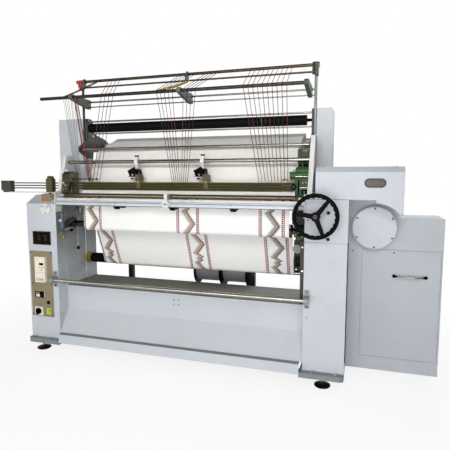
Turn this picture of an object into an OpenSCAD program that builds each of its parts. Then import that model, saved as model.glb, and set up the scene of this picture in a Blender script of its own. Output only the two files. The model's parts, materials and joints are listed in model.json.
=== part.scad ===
// Crochet knitting machine: two side columns, a needle bed between them, a yarn-guide frame above,
// take-down rollers with the finished cloth below, and a drive cabinet with a handwheel at the right.
// X runs along the machine, Y runs from the operator to the back, Z is up from the floor.

/* [Frame] */
// Room between the needle row's ends and the side columns, both sides together
side_room = 220; // [200:1:260]
// Width of each side column
column_w = 240; // [220:1:280]
// Depth of the side columns
column_d = 466; // [440:1:500]
// Rise of the sloped front of the left column top
column_slope_h = 58; // [40:1:70]
// Height of the flat top of the columns
column_top_z = 1110; // [1100:1:1120]
// Depth of the sloped front of the left column top
column_slope_d = 100; // [80:1:104]
// Thickness of the base plates
plate_t = 30; // [20:1:36]
// Height of the base plate tops above the floor
plate_top_z = 102; // [96:1:112]
// How far the base plates stand out in front
plate_front = 42; // [34:1:50]
// How far the base plates reach in under the front beam
plate_in = 15; // [10:1:24]
// Diameter of the foot discs
foot_d = 95; // [80:1:110]
// Diameter of the foot studs
stud_d = 16; // [12:1:20]
// Depth of the rear posts
post_d = 83; // [70:1:95]
// Height of the rear posts above the column tops
post_h = 560; // [540:1:600]
// Width of the right rear post
right_post_w = 122; // [100:1:140]

/* [Lower box] */
// Height of the front ledge
ledge_z = 150; // [140:1:165]
// Distance of the upright front panel behind the column fronts
panel_y = 96; // [80:1:120]
// Height of the crease in the front panel
crease_z = 300; // [260:1:340]
// Height of the deck over the lower box
deck_z = 467; // [440:1:490]
// Distance from the deck's back edge to the column backs
deck_back_gap = 18; // [10:1:40]
// Sheet thickness of the panels
sheet_t = 3; // [2:0.5:5]

/* [Knitting zone] */
// Working width of the needle row
work_w = 1468; // [1200:1:1800]
// Sideways offset of the needle row from the middle of the frame
work_x = 30; // [0:1:40]
// Pitch of the needles
needle_pitch = 14; // [10:0.5:24]
// Front face of the hanging cloth behind the column fronts
cloth_y = 84; // [80:1:90]
// Drop of the needle bed's top below the column tops
bed_drop = 14; // [10:1:25]
// Depth of the needle bed beam
bed_d = 110; // [90:1:130]
// Height of the needle bed beam
bed_h = 62; // [50:1:76]
// Travel of the needle bar, towards the back
needle_travel = 14; // [8:1:18]
// Distance of the weft bars behind the column fronts
weft_y = 107; // [104:1:109]
// Height of the lowest weft bar above the needle bed
weft_rise = 54; // [48:1:60]
// Height of one weft bar
weft_h = 15; // [12:1:16]
// Thickness of the weft bars
weft_t = 6; // [5:0.5:8]
// Pitch of the weft bars
weft_pitch = 18; // [17:0.5:22]
// Diameter of the weft bars' pull rods
pull_d = 8; // [6:0.5:10]
// Travel of the weft bars each way
weft_travel = 25; // [15:1:30]
// Height of the front rail
rail_h = 50; // [40:1:56]
// Depth of the front rail
rail_d = 30; // [24:1:34]
// Drop of the front rail's lower edge below the needle bed's top
rail_drop = 51; // [46:1:60]
// Diameter of the tension rod
tension_d = 25; // [20:1:30]
// Height of the tension rod above the column tops
tension_rise = 229; // [215:1:235]

/* [Yarn frame] */
// Diameter of the uprights
upright_d = 18; // [14:1:20]
// Height of the top bar above the rear posts
frame_rise = 266; // [230:1:320]
// Diameter of the top bar
top_bar_d = 20; // [16:1:24]
// Height of the yarn bar above the rear posts
yarn_rise = 119; // [105:1:130]
// Diameter of the yarn bar
yarn_bar_d = 22; // [16:1:24]
// Reach of the yarn bar in front of the uprights
yarn_reach = 203; // [180:1:210]
// Diameter of the black feed roller
feed_d = 66; // [50:1:70]
// Drop of the feed roller's axis below the post tops
feed_drop = 70; // [62:1:80]
// Diameter of the wound warp
warp_d = 104; // [80:1:120]
// Drop of the warp beam's axis below the post tops
warp_drop = 185; // [175:1:195]
// Thickness of the warp sheet
warp_t = 2; // [1:0.5:3]

/* [Take-down] */
// Diameter of the front take-down roller
take_d = 60; // [52:1:64]
// Drop of the front take-down roller's axis below the needle bed's top
take_drop = 196; // [186:1:206]
// Diameter of the press roller behind it
press_d = 56; // [48:1:60]
// Diameter of the cloth roller
cloth_roller_d = 72; // [60:1:84]
// Drop of the cloth roller's axis below the take-down roller's
cloth_roller_drop = 275; // [260:1:285]
// Distance of the cloth roller's axis behind the column fronts
cloth_roller_y = 362; // [350:1:372]
// Thickness of the cloth
cloth_t = 1.2; // [0.8:0.1:2]
// How far the cloth's edges lie inside the ends of the needle row, both sides together
cloth_inset = 45; // [20:1:80]
// Diameter of the spool flanges
spool_d = 230; // [200:1:240]
// Diameter of the spool cores
spool_core_d = 174; // [120:1:190]

/* [Controls] */
// Width of the control plate
control_w = 180; // [170:1:196]
// Height of the control plate
control_h = 468; // [456:1:490]
// Gap between the display window and the control plate under it
control_gap = 46; // [30:1:60]
// Diameter of the rotary switch knob
knob_d = 44; // [36:1:50]
// Travel of the push buttons
button_travel = 4; // [2:0.5:4.5]
// Diameter of the front stop rod
stop_d = 24; // [18:1:28]
// Height of the front stop rod
stop_z = 531; // [510:1:550]

/* [Drive] */
// Height of the drive hood
hood_h = 180; // [160:1:200]
// Width of the drive hood
hood_w = 466; // [450:1:490]
// Clearance between the drive hood's back and the rear posts
hood_gap = 13; // [6:1:40]
// Radius of the round cover
cover_r = 125; // [110:1:128]
// Width of the drive cabinet
cabinet_w = 519; // [500:1:560]
// Drop of the drive cabinet's top below the column tops
cabinet_drop = 112; // [100:1:125]
// Height of the drive cabinet's underside
cabinet_bottom_z = 75; // [65:1:90]
// Distance of the cabinet front behind the column fronts
cabinet_y = 195; // [180:1:200]
// Pitch radius of the main pulley
main_r = 95; // [80:1:100]
// Pitch radius of the motor pulley
motor_r = 40; // [35:1:50]
// Radius of the handwheel at the middle of its rim
wheel_r = 118; // [105:1:125]
// Thickness of the handwheel's rim
wheel_rim_d = 22; // [18:1:26]

/* [Fits] */
// Running clearance on radius, shaft in hole
fit = 0.05; // [0.02:0.01:0.09]
// Clearance between pieces that move past each other
gap = 0.3; // [0.3:0.1:0.6]

/* [Hidden] */
$fn = 48;

// Columns and posts
inner_w = work_w + side_room;
half_w = inner_w / 2;
column_front_z = column_top_z - column_slope_h;
post_top_z = column_top_z + post_h;
outer_x = half_w + column_w;
post_y = column_d - post_d;
plate_bottom_z = plate_top_z - plate_t;
plate_edge_x = half_w - plate_in;
plate_back = 20;
plate_corner_r = 25;
post_corner_r = 25;
seam = 2;
left_seam_z = column_top_z - 248;
right_seam_z = column_top_z - 246;
recess_depth = 8;
recess_y = [118, 335];
recess_z = [plate_top_z + 58, column_top_z - 110];

// Feet
foot_x = [-half_w - 181, half_w + 117];
foot_y = [45, column_d - 36];
foot_disc_h = 10;
foot_neck_d = 30;
foot_neck_h = 22;
nut_w = 26;
nut_h = 13;

// Lower box
deck_back_y = column_d - deck_back_gap;
beam_bottom_z = 88;
beam_lip = 30;
beam_top_reach = 60;

// Needle bed, needles and guides
bed_z = column_top_z - bed_drop;
needle_n = floor(work_w / needle_pitch);
needle_x0 = work_x - (needle_n - 1) * needle_pitch / 2;
bed_front_y = cloth_y + cloth_t + 4.8;
bed_body_y = bed_front_y + 20;
nose_h = 10;
fin_w = 2;
fin_h = 5;
fin_d = 46;
needle_w = 1.6;
needle_h = 3;
needle_lift = 0.4;
needle_tip_y = bed_front_y + 4;
needle_bar_y = needle_tip_y + fin_d + needle_travel;
needle_bar_d = 18;
needle_bar_h = 16;
guide_bar_y = 44;
guide_bar_t = 8;
guide_bar_h = 12;
guide_bar_pitch = 16;
guide_low_z = bed_z + 2;
guide_pin_d = 8;
guide_half = half_w - 44;
guide_block_w = 20;
guide_blade = [1.2, 22, 8];

// Weft bars and front rail
weft_z = bed_z + weft_rise;
rail_z = bed_z - rail_drop;
weft_end_right = half_w - 40;
weft_end_left = -half_w + 64;
rod_end = -outer_x - 246;
weft_hole = weft_travel + 10;
band_x = work_x * [1, 1, 1] + work_w * [-0.4373, 0.0395, 0.4128];

// Lifters and end plates
tension_z = column_top_z + tension_rise;
lifter_w = 99;
lifter_y = [weft_y - 25, weft_y + 60];
lifter_body_w = lifter_w - 23;
lifter_top_z = [weft_z + 124, tension_z - 45];
plate_gap = 4;
end_plate_t = 28;
end_plate_x = half_w + plate_gap;
plate_back_y = [post_y - 53, post_y - 38];
left_plate_top_z = tension_z + 46;
right_plate_top_z = tension_z + 146;
tension_y = weft_y + 63;
hanger_x = [-307, 167];
clamp_w = 24;
clamp_od = tension_d + 21;
hanger_drop = 77;
hanger_body_d = 56;
hanger_body_w = 54;

// Roller brackets and rods
feed_z = post_top_z - feed_drop;
warp_z = post_top_z - warp_drop;
bracket_t = 14;
bracket_x = half_w - bracket_t;
feed_y = post_y + 17;
feed_shaft_d = 20;
feed_rod_d = [12, 10];
feed_rod_gap = 8;
feed_rod_z = [feed_z + feed_d / 2 + feed_rod_gap + feed_rod_d[0] / 2,
              feed_z - feed_d / 2 - feed_rod_gap / 2 - feed_rod_d[1] / 2];
front_rod = [post_y - 83, warp_z - 48];
front_rod_d = 20;
rear_rod = [post_y - 46, warp_z - 60];
rear_rod_d = 16;
warp_axis = [post_y + 237, warp_z];
warp_shaft_d = 36;
warp_w = work_w;

// Yarn frame
top_bar_z = post_top_z + frame_rise;
yarn_bar_z = post_top_z + yarn_rise;
upright_x = half_w + upright_d / 2;
upright_y = post_y - upright_d / 2;
upright_z0 = feed_z - 90;
top_rod_d = 12;
top_rod = [upright_y - 22, top_bar_z - 48];
top_bar_over = 48;
low_bar_d = [12, 8];
low_bar_z = [post_top_z + 115, post_top_z + 80];
yarn_bar_y = upright_y - yarn_reach;
yarn_bar_left = -outer_x + 19;
yarn_bar_right = half_w - 29;
arm_t = 26;
arm_x = [-half_w + 24, -7, half_w - 38];
frame_clamp_t = 12;
yarn_d = 2.6;
yarn_n = [4, 9, 10];
yarn_bar_at = [52, -238, -202];
yarn_bar_step = [30, 28, 30];
yarn_arm_gap = 50;
yarn_top_shift = [-60, 92, 4];
yarn_end_at = [-28, -108, -84];
yarn_end_step = [26, 13, 19.5];

// Take-down path in the plane across the machine, as pairs of Y and Z
take_z = bed_z - take_drop;
cloth_roller_z = take_z - cloth_roller_drop;
take_axis = [cloth_y + cloth_t + gap + take_d / 2, take_z];
nip = take_d / 2 + press_d / 2 + cloth_t + 2 * gap;
nip_angle = 15;
press_axis = take_axis + nip * [cos(nip_angle), sin(nip_angle)];
cloth_axis = [cloth_roller_y, cloth_roller_z];
roller_shaft_d = 20;
cloth_w = work_w - cloth_inset;
roller_over = 10;
wall_gap = 40;
bearing_t = 22;
cloth_x0 = work_x + 1 - cloth_w / 2;
cloth_x1 = work_x + 1 + cloth_w / 2;

// Warp spools on their stand
spool_axis = [column_d + 154, 537];
spool_shaft_d = 24;
spool_x = [half_w - 880, half_w - 666];
spool_w = [206, 193];
spool_flange_t = 8;
stand_x = [-half_w + 206, half_w - 468];
stand_w = 36;
stand_arm_z = [300, 400];

// Controls on the left column
panel_x = -half_w - 136;
control_t = 4;
control_x0 = panel_x - control_w / 2;
window_size = [146, 93];
window_x0 = panel_x - 59;
window_z0 = left_seam_z - window_size[1] - 2;
control_z = window_z0 - control_gap - control_h;
inverter_size = [84, 181];
inverter_at = [panel_x - 37, control_z + 250];
meter_size = [76, 48];
meter_at = [panel_x - 53, control_z + 137];
switch_size = [66, 62];
switch_at = [panel_x - 63, control_z + 8];
unit_t = [22, 10, 8];
switch_face_y = -control_t - unit_t[2];
knob_axis = [switch_at[0] + switch_size[0] / 2, switch_at[1] + switch_size[1] / 2];
knob_shaft_d = 8;
black_at = [panel_x + 55, control_z + 106];
green_at = [panel_x + 50, control_z + 41];
button_d = 24;
button_stem_d = 14;
button_stem = 12;
cap_at = [-half_w - 78, column_front_z - 36];
cap_d = 82;
box_x = [-half_w - 130, -half_w - 56];
stop_y = -40;
stop_bracket_x = half_w + 6;
stop_bracket_w = 30;
stop_bracket_h = 110;
collar_x = [-half_w + 66, 0, half_w - 130];

// Drive hood, round cover and cabinet
cabinet_top_z = column_top_z - cabinet_drop;
hood_x = half_w + 56;
hood_d = post_y - hood_gap;
hood_bevel = [30, 28];
hood_skirt = 72;
cover_axis = [outer_x + 142, column_top_z - 167];
cover_gap = 25;
cover_t = 55;
cover_edge = 6;
cover_screw_n = 6;
cabinet_x1 = outer_x + cabinet_w;
wall = 4;
opening_x = [outer_x + 78, cabinet_x1 - 8];
opening_z = [cabinet_bottom_z + 81, cabinet_top_z - 186];
door_gap = 1.5;
lip = 14;
handle_x = [outer_x + 261, outer_x + 433];
handle_z = cabinet_top_z - 340;
handle_d = 11;
handle_reach = 34;
handle_foot_t = 4;
handle_foot_d = 20;

// Belt drive inside the cabinet
main_axis = [outer_x + 142, cabinet_top_z - 128];
motor_axis = [outer_x + 316, cabinet_bottom_z + 120];
pulley_y = cabinet_y + 34;
pulley_w = 26;
belt_w = 14;
belt_t = 9;
main_shaft_d = 30;
motor_shaft_d = 24;
motor_d = 150;
motor_y = pulley_y + pulley_w + 12;
motor_len = 160;

// Handwheel
wheel_axis = [half_w + 67, column_top_z - 93];
wheel_y = -70;
wheel_shaft_d = 25;
wheel_hub_d = 52;
wheel_spokes = 3;
wheel_spoke_turn = 52;
wheel_shaft_in = 34;
grip_n = 24;
grip_depth = 4;
wheel_front = -95;

// Left overhang with the weft bars' return unit
block_x = [rod_end - 49, rod_end + 35];
block_d = 40;
block_z = [weft_z - 11, weft_z + 60];
tray_z = weft_z - 26;
tray_t = 6;
guide_block_x = [-half_w - 141, -half_w - 91];

// The origin is on the floor under the middle of the whole machine
x_min = block_x[0];
x_max = cabinet_x1;
y_min = wheel_front;
y_max = spool_axis[0] + spool_d / 2;
origin_shift = [-(x_min + x_max) / 2, -(y_min + y_max) / 2, 0];

// Colours
paint = [0.76, 0.80, 0.84];
plate_grey = [0.45, 0.49, 0.51];
deck_grey = [0.30, 0.32, 0.32];
bronze = [0.55, 0.42, 0.18];
olive = [0.29, 0.26, 0.11];
casting_green = [0.16, 0.45, 0.15];
black = [0.04, 0.04, 0.045];
chrome = [0.78, 0.78, 0.77];
white = [0.93, 0.93, 0.91];
dark_steel = [0.18, 0.17, 0.16];
panel_bronze = [0.66, 0.61, 0.50];
yarn_white = [0.93, 0.92, 0.87];

// Moves a piece from the frame's own middle to the origin, in its colour
module piece(tint) {
    color(tint) translate(origin_shift) children();
}

// Round bar along X
module x_bar(x0, x1, at, d) {
    translate([x0, at[0], at[1]]) rotate([0, 90, 0]) cylinder(d = d, h = x1 - x0);
}

// Round bar along Y
module y_bar(at, y0, y1, d) {
    translate([at[0], y0, at[1]]) rotate([-90, 0, 0]) cylinder(d = d, h = y1 - y0);
}

// Plate across the machine, drawn in Y and Z, from x0 to x0 + t
module yz_plate(x0, t) {
    translate([x0, 0, 0]) rotate([90, 0, 90]) linear_extrude(t) children();
}

// Plate facing the operator, drawn in X and Z, from y0 to y0 + t
module xz_plate(y0, t) {
    translate([0, y0 + t, 0]) rotate([90, 0, 0]) linear_extrude(t) children();
}

// Block between two corners
module block(low, high) {
    translate(low) cube(high - low);
}

// Rectangle with round corners
module round_rect(size, r) {
    translate([r, 0]) square([size[0] - 2 * r, size[1]]);
    translate([0, r]) square([size[0], size[1] - 2 * r]);
    for (x = [r, size[0] - r], y = [r, size[1] - r]) translate([x, y]) circle(r);
}

// Points along an arc, angles in degrees
function arc(c, r, a0, a1, n) = [for (i = [0:n]) c + r * [cos(a0 + (a1 - a0) * i / n),
    sin(a0 + (a1 - a0) * i / n)]];
function angle_to(a, b) = atan2(b[1] - a[1], b[0] - a[0]);

// Tube of 8 sides swept along a list of points
tube_sides = 8;
function ring(c, dir, r) = let(
    side = cross(dir, [1, 0, 0]) / norm(cross(dir, [1, 0, 0])),
    up = cross(dir, side) / norm(cross(dir, side)))
    [for (i = [0:tube_sides - 1]) c + r * (cos(360 * i / tube_sides) * side + sin(360 * i / tube_sides) *
        up)];
function tangent(p, i) = let(a = p[max(i - 1, 0)], b = p[min(i + 1, len(p) - 1)]) (b - a) / norm(b - a);
module tube(path, d) {
    last = len(path) - 1;
    rings = [for (i = [0:last]) each ring(path[i], tangent(path, i), d / 2)];
    sides = [for (i = [0:last - 1], k = [0:tube_sides - 1])
        let(a = i * tube_sides + k, b = i * tube_sides + (k + 1) % tube_sides)
        [a, a + tube_sides, b + tube_sides, b]];
    caps = [[for (k = [0:tube_sides - 1]) k],
        [for (k = [0:tube_sides - 1]) last * tube_sides + tube_sides - 1 - k]];
    polyhedron(rings, concat(sides, caps));
}

// Base plates with the holes for the feet
module base_plates() {
    piece(plate_grey) for (side = [0, 1]) difference() {
        mirror([1 - side, 0, 0]) translate([0, 0, plate_bottom_z]) linear_extrude(plate_t) {
            translate([plate_edge_x, plate_corner_r - plate_front])
                square([outer_x - plate_edge_x, column_d + plate_back + plate_front - plate_corner_r]);
            translate([plate_edge_x, -plate_front]) square([outer_x - plate_edge_x - plate_corner_r,
                plate_corner_r]);
            translate([outer_x - plate_corner_r, plate_corner_r - plate_front]) circle(plate_corner_r);
        }
        for (y = foot_y) translate([foot_x[side], y, 0]) cylinder(d = stud_d + 2 * fit,
            h = plate_top_z + 1);
    }
}

// Levelling feet: turned disc and stud, each with its lock nut under the plate
module levelling_feet() {
    piece(chrome) for (x = foot_x, y = foot_y) translate([x, y, 0]) {
        rotate_extrude() polygon([
            [0, 0], [foot_d / 2 - 3, 0], [foot_d / 2, 3], [foot_d / 2, foot_disc_h - 2],
            [foot_neck_d / 2 + 6, foot_disc_h + 5], [foot_neck_d / 2, foot_neck_h],
            [stud_d / 2, foot_neck_h], [stud_d / 2, plate_top_z - seam], [0, plate_top_z - seam]]);
        difference() {
            translate([0, 0, plate_bottom_z - nut_h]) cylinder(d = nut_w / cos(30), h = nut_h, $fn = 6);
            translate([0, 0, plate_bottom_z - nut_h - 1]) cylinder(d = stud_d + 2 * fit, h = nut_h + 2);
        }
    }
}

// Outline of a column from the side, with a sloped front top where asked
module column_outline(slope) {
    polygon(slope
        ? [[0, plate_top_z], [0, column_front_z], [column_slope_d, column_top_z], [column_d,
            column_top_z], [column_d, plate_top_z]]
        : [[0, plate_top_z], [0, column_top_z], [column_d, column_top_z], [column_d, plate_top_z]]);
}

// Shallow panel recess in the inner wall of a column
module wall_recess(side) {
    x0 = side < 0 ? -half_w - recess_depth : half_w - 1;
    block([x0, recess_y[0], recess_z[0]], [x0 + recess_depth + 1, recess_y[1], recess_z[1]]);
}

// Left column with the holes behind the push buttons
module left_column() {
    piece(paint) difference() {
        yz_plate(-outer_x, column_w) column_outline(true);
        wall_recess(-1);
        block([-outer_x - 1, -1, left_seam_z - seam], [-half_w + 1, seam, left_seam_z]);
        for (at = [black_at, green_at]) y_bar(at, -1, button_stem + button_travel + 2, button_stem_d + 2);
    }
}

// Right column with the handwheel's bearing bore
module right_column() {
    piece(paint) difference() {
        yz_plate(half_w, column_w) column_outline(false);
        wall_recess(1);
        block([half_w - 1, -1, right_seam_z - seam], [outer_x + 1, seam, right_seam_z]);
        y_bar(wheel_axis, -1, wheel_shaft_in + 2, wheel_shaft_d + 2 * fit);
    }
}

// Rear posts on the column tops
module rear_posts() {
    piece(paint) {
        block([-outer_x, post_y, column_top_z], [-half_w, column_d, post_top_z]);
        xz_plate(post_y, post_d) translate([half_w, column_top_z]) {
            square([right_post_w, post_top_z - column_top_z - post_corner_r]);
            square([right_post_w - post_corner_r, post_top_z - column_top_z]);
            translate([right_post_w - post_corner_r,
                post_top_z - column_top_z - post_corner_r]) circle(post_corner_r);
        }
    }
}

// Folded front panel: a slope, a crease and an upright wall
module front_panel() {
    lean = sheet_t * 1.2;
    piece(paint) yz_plate(-half_w, inner_w) polygon([
        [0, ledge_z], [panel_y, crease_z], [panel_y, deck_z],
        [panel_y + sheet_t, deck_z], [panel_y + sheet_t, crease_z - sheet_t / 3], [lean, ledge_z]]);
}

// Deck over the lower box, folded down at the back
module deck_panel() {
    piece(deck_grey) yz_plate(-half_w, inner_w) polygon([
        [panel_y, deck_z], [panel_y, deck_z + sheet_t], [deck_back_y, deck_z + sheet_t], [deck_back_y,
            ledge_z],
        [deck_back_y - sheet_t, ledge_z], [deck_back_y - sheet_t, deck_z]]);
}

// Front base beam, a channel between the base plates
module base_beam() {
    piece(paint) yz_plate(-plate_edge_x, 2 * plate_edge_x) polygon([
        [-plate_front, beam_bottom_z], [-plate_front, ledge_z], [beam_top_reach, ledge_z],
        [beam_top_reach, ledge_z - wall], [wall - plate_front, ledge_z - wall],
        [wall - plate_front, beam_bottom_z + wall], [beam_lip, beam_bottom_z + wall], [beam_lip,
            beam_bottom_z]]);
}

// Needle bed: a deep beam with a nose that carries the trick fins
module needle_bed() {
    piece(plate_grey) {
        yz_plate(-half_w, inner_w) polygon([
            [bed_front_y, bed_z], [bed_front_y, bed_z - nose_h], [bed_body_y, bed_z - nose_h - 8],
            [bed_body_y, bed_z - bed_h], [bed_body_y + bed_d, bed_z - bed_h], [bed_body_y + bed_d, bed_z]]);
        for (i = [0:needle_n])
            block([needle_x0 + (i - 0.5) * needle_pitch - fin_w / 2, bed_front_y, bed_z - 1],
                  [needle_x0 + (i - 0.5) * needle_pitch + fin_w / 2, bed_front_y + fin_d, bed_z + fin_h]);
    }
}

// Needle bar with its row of hooked needles
module needle_bar() {
    z0 = bed_z + needle_lift;
    piece(chrome) {
        block([needle_x0 - 8, needle_bar_y, z0], [needle_x0 + (needle_n - 1) * needle_pitch + 8,
            needle_bar_y + needle_bar_d, z0 + needle_bar_h]);
        for (i = [0:needle_n - 1])
            yz_plate(needle_x0 + i * needle_pitch - needle_w / 2, needle_w) polygon([
                [needle_tip_y, z0], [needle_bar_y + 1, z0], [needle_bar_y + 1, z0 + needle_h],
                [needle_tip_y + 3, z0 + needle_h], [needle_tip_y + 3.5, z0 + needle_h + 2.5],
                [needle_tip_y + 1.5, z0 + needle_h + 3.5], [needle_tip_y, z0 + needle_h + 1]]);
    }
}

// Warp guide bars: two bars joined by end blocks, with guide blades
module guide_bar() {
    top_z = guide_low_z + guide_bar_pitch + guide_bar_h;
    piece(bronze) difference() {
        union() {
            for (z = [guide_low_z, guide_low_z + guide_bar_pitch])
                block([-guide_half, guide_bar_y, z], [guide_half, guide_bar_y + guide_bar_t,
                    z + guide_bar_h]);
            for (x = [-guide_half, guide_half - guide_block_w])
                block([x, guide_bar_y - 6, guide_low_z], [x + guide_block_w,
                    guide_bar_y + guide_bar_t + 2, top_z]);
            for (i = [0:needle_n - 1])
                translate([needle_x0 + i * needle_pitch - guide_blade[0] / 2,
                    guide_bar_y + guide_bar_t - 1, guide_low_z + 2])
                    cube([guide_blade[0], guide_blade[1] + 1, guide_blade[2]]);
        }
        for (x = [-guide_half - 1, guide_half - guide_block_w - 1])
            x_bar(x, x + guide_block_w + 2, guide_pin_at, guide_pin_d + 2 * fit);
    }
}
guide_pin_at = [guide_bar_y + guide_bar_t / 2 - 2, guide_low_z + (guide_bar_pitch + guide_bar_h) / 2];

// Weft bar with its guide tubes and the pull rod to the return unit
module weft_bar(i) {
    z = weft_z + i * weft_pitch;
    piece(olive) {
        block([weft_end_left, weft_y - weft_t / 2, z], [weft_end_right, weft_y + weft_t / 2, z + weft_h]);
        x_bar(rod_end, weft_end_left + 1, [weft_y, z + weft_h / 2], pull_d);
    }
}
module weft_bar_1() weft_bar(0);
module weft_bar_2() weft_bar(1);
module weft_bar_3() weft_bar(2);

// Front rail, a hollow extrusion with a bevelled top edge
module front_rail() {
    top_z = rail_z + rail_h;
    bevel = [12, 18];
    piece(white) yz_plate(6 - half_w, inner_w - 12) difference() {
        polygon([[0, rail_z], [0, top_z - bevel[1]], [bevel[0], top_z], [rail_d, top_z], [rail_d, rail_z]]);
        polygon([[wall, rail_z + wall], [wall, top_z - bevel[1] - 1], [bevel[0] + 2, top_z - wall],
            [rail_d - wall, top_z - wall], [rail_d - wall, rail_z + wall]]);
    }
}

// Rail brackets: one at each column with a guide pin, one in the middle with a round boss
module rail_brackets() {
    boss_d = 50;
    arm_w = 22;
    foot_z = rail_z - 45;
    piece(white) {
        for (side = [-1, 1]) {
            yz_plate(side < 0 ? -half_w : half_w - 6, 6) translate([-8, foot_z]) round_rect([70, 138], 12);
            x_bar(side < 0 ? -half_w + 6 : guide_half - guide_block_w + 8,
                side < 0 ? -guide_half + guide_block_w - 8 : half_w - 6, guide_pin_at, guide_pin_d);
        }
        translate([-18, 0, 0]) {
            y_bar([0, rail_z + 21], -14, 0, boss_d);
            block([-arm_w / 2, -8, rail_z + 21], [arm_w / 2, 0, rail_z + 86]);
            block([-arm_w / 2, -8, rail_z + 78], [arm_w / 2, guide_bar_y - 8, rail_z + 86]);
        }
    }
}

// End plates on the columns that carry the tension rod
module end_plates() {
    foot_y0 = 55;
    piece(white) for (side = [-1, 1]) difference() {
        yz_plate(side < 0 ? -end_plate_x - end_plate_t : end_plate_x, end_plate_t) polygon(side < 0
            ? [[column_slope_d, column_top_z], [62, column_top_z + 20], [tension_y - 22, left_plate_top_z],
               [tension_y + 46, left_plate_top_z], [plate_back_y[0], column_top_z + 90],
                   [plate_back_y[0], column_top_z]]
            : [[foot_y0, column_top_z], [foot_y0, column_top_z + 25], [tension_y + 30, right_plate_top_z],
               [tension_y + 110, right_plate_top_z], [plate_back_y[1], column_top_z + 90],
                   [plate_back_y[1], column_top_z]]);
        x_bar(side < 0 ? -end_plate_x - end_plate_t - 1 : end_plate_x - 1,
            side < 0 ? -end_plate_x + 1 : end_plate_x + end_plate_t + 1, [tension_y, tension_z],
                tension_d + 2 * fit);
        if (side < 0) for (i = [0:2])
            x_bar(-end_plate_x - end_plate_t - 1, -end_plate_x + 1,
                [weft_y, weft_z + i * weft_pitch + weft_h / 2], pull_d + 2 * gap + 1);
    }
}

// Outline of a lifter casting from the side
module lifter_outline(top_z) {
    polygon([
        [lifter_y[0] + 10, weft_z - 40], [lifter_y[0], weft_z - 20], [lifter_y[0], weft_z + 70],
        [lifter_y[0] + 22, weft_z + 100], [lifter_y[0] + 22, top_z - 16], [lifter_y[0] + 38, top_z],
        [lifter_y[1] - 14, top_z], [lifter_y[1], top_z - 14], [lifter_y[1], weft_z - 40]]);
}

// Slots for the weft bars, from x0 to x1
module weft_slots(x0, x1) {
    for (i = [0:2]) {
        z = weft_z + i * weft_pitch;
        block([x0, weft_y - weft_t / 2 - gap, z - gap], [x1, weft_y + weft_t / 2 + gap, z + weft_h + gap]);
    }
}

// Left lifter casting: guides the weft bars' ends and pull rods
module left_lifter() {
    x0 = -end_plate_x;
    piece(olive) difference() {
        union() {
            yz_plate(x0, lifter_w - 20) lifter_outline(lifter_top_z[0]);
            x_bar(x0, x0 + lifter_w, [weft_y + 4, weft_z + 94], 44);
        }
        weft_slots(weft_end_left - weft_hole, x0 + lifter_w + 1);
        for (i = [0:2])
            x_bar(x0 - 1, weft_end_left + weft_travel + 2, [weft_y, weft_z + i * weft_pitch + weft_h / 2],
                pull_d + 2 * gap + 1);
    }
}

// Right lifter casting: guides the weft bars' free ends
module right_lifter() {
    x1 = end_plate_x;
    ear_y = [tension_y + tension_d / 2 + 8, tension_y + tension_d / 2 + 30];
    piece(casting_green) difference() {
        union() {
            yz_plate(x1 - lifter_body_w, lifter_body_w) lifter_outline(lifter_top_z[1]);
            x_bar(x1 - lifter_w - 10, x1, [weft_y + 4, weft_z + 94], 44);
            block([x1 - lifter_body_w, lifter_y[1] - 10, lifter_top_z[1] - 44], [x1, ear_y[1],
                lifter_top_z[1] - 16]);
            block([x1 - lifter_body_w, ear_y[0], lifter_top_z[1] - 44], [x1, ear_y[1], tension_z + 68]);
        }
        weft_slots(x1 - lifter_w, weft_end_right + weft_hole);
    }
}

// Tension rod between the end plates
module tension_rod() {
    piece(chrome) x_bar(-end_plate_x - end_plate_t, end_plate_x + end_plate_t, [tension_y, tension_z],
        tension_d);
}

// Split clamps on the tension rod, each with an arm that hangs down
module hanger_clamps() {
    piece(white) for (x = hanger_x) difference() {
        union() {
            x_bar(x - clamp_w / 2, x + clamp_w / 2, [tension_y, tension_z], clamp_od);
            block([x - clamp_w / 2, tension_y - 13, tension_z + 12], [x + clamp_w / 2, tension_y + 13,
                tension_z + clamp_od / 2 + 8]);
            block([x - clamp_w / 2 + 4, tension_y - 12, tension_z - hanger_drop], [x + clamp_w / 2 - 4,
                tension_y + 6, tension_z - 12]);
        }
        x_bar(x - clamp_w, x + clamp_w, [tension_y, tension_z], tension_d + 2 * fit);
        block([x - clamp_w, tension_y - 1.5, tension_z], [x + clamp_w, tension_y + 1.5,
            tension_z + clamp_od]);
    }
}

// Guide units under the clamps: a round body, a side plate and a tongue beside the weft bars
module hanger_bodies() {
    tongue_y = weft_y - weft_t / 2 - 0.6;
    z = tension_z - hanger_drop;
    piece(black) for (x = hanger_x) {
        difference() {
            x_bar(x - hanger_body_w / 2, x + hanger_body_w / 2, [tension_y - 12, z], hanger_body_d);
            block([x - clamp_w / 2 + 4, tension_y - 12, z], [x + clamp_w / 2 - 4, tension_y + 6,
                z + hanger_body_d]);
        }
        x_bar(x - hanger_body_w / 2 - 22, x - hanger_body_w / 2 + 1, [tension_y - 20, z - 12], 8);
        block([x + hanger_body_w / 2 - 4, tongue_y - 6, z - 52], [x + hanger_body_w / 2 + 32,
            weft_y + 40, z - 10]);
        block([x + hanger_body_w / 2 + 2, tongue_y - 6, z - 100], [x + hanger_body_w / 2 + 32, tongue_y,
            z - 40]);
    }
}

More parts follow.
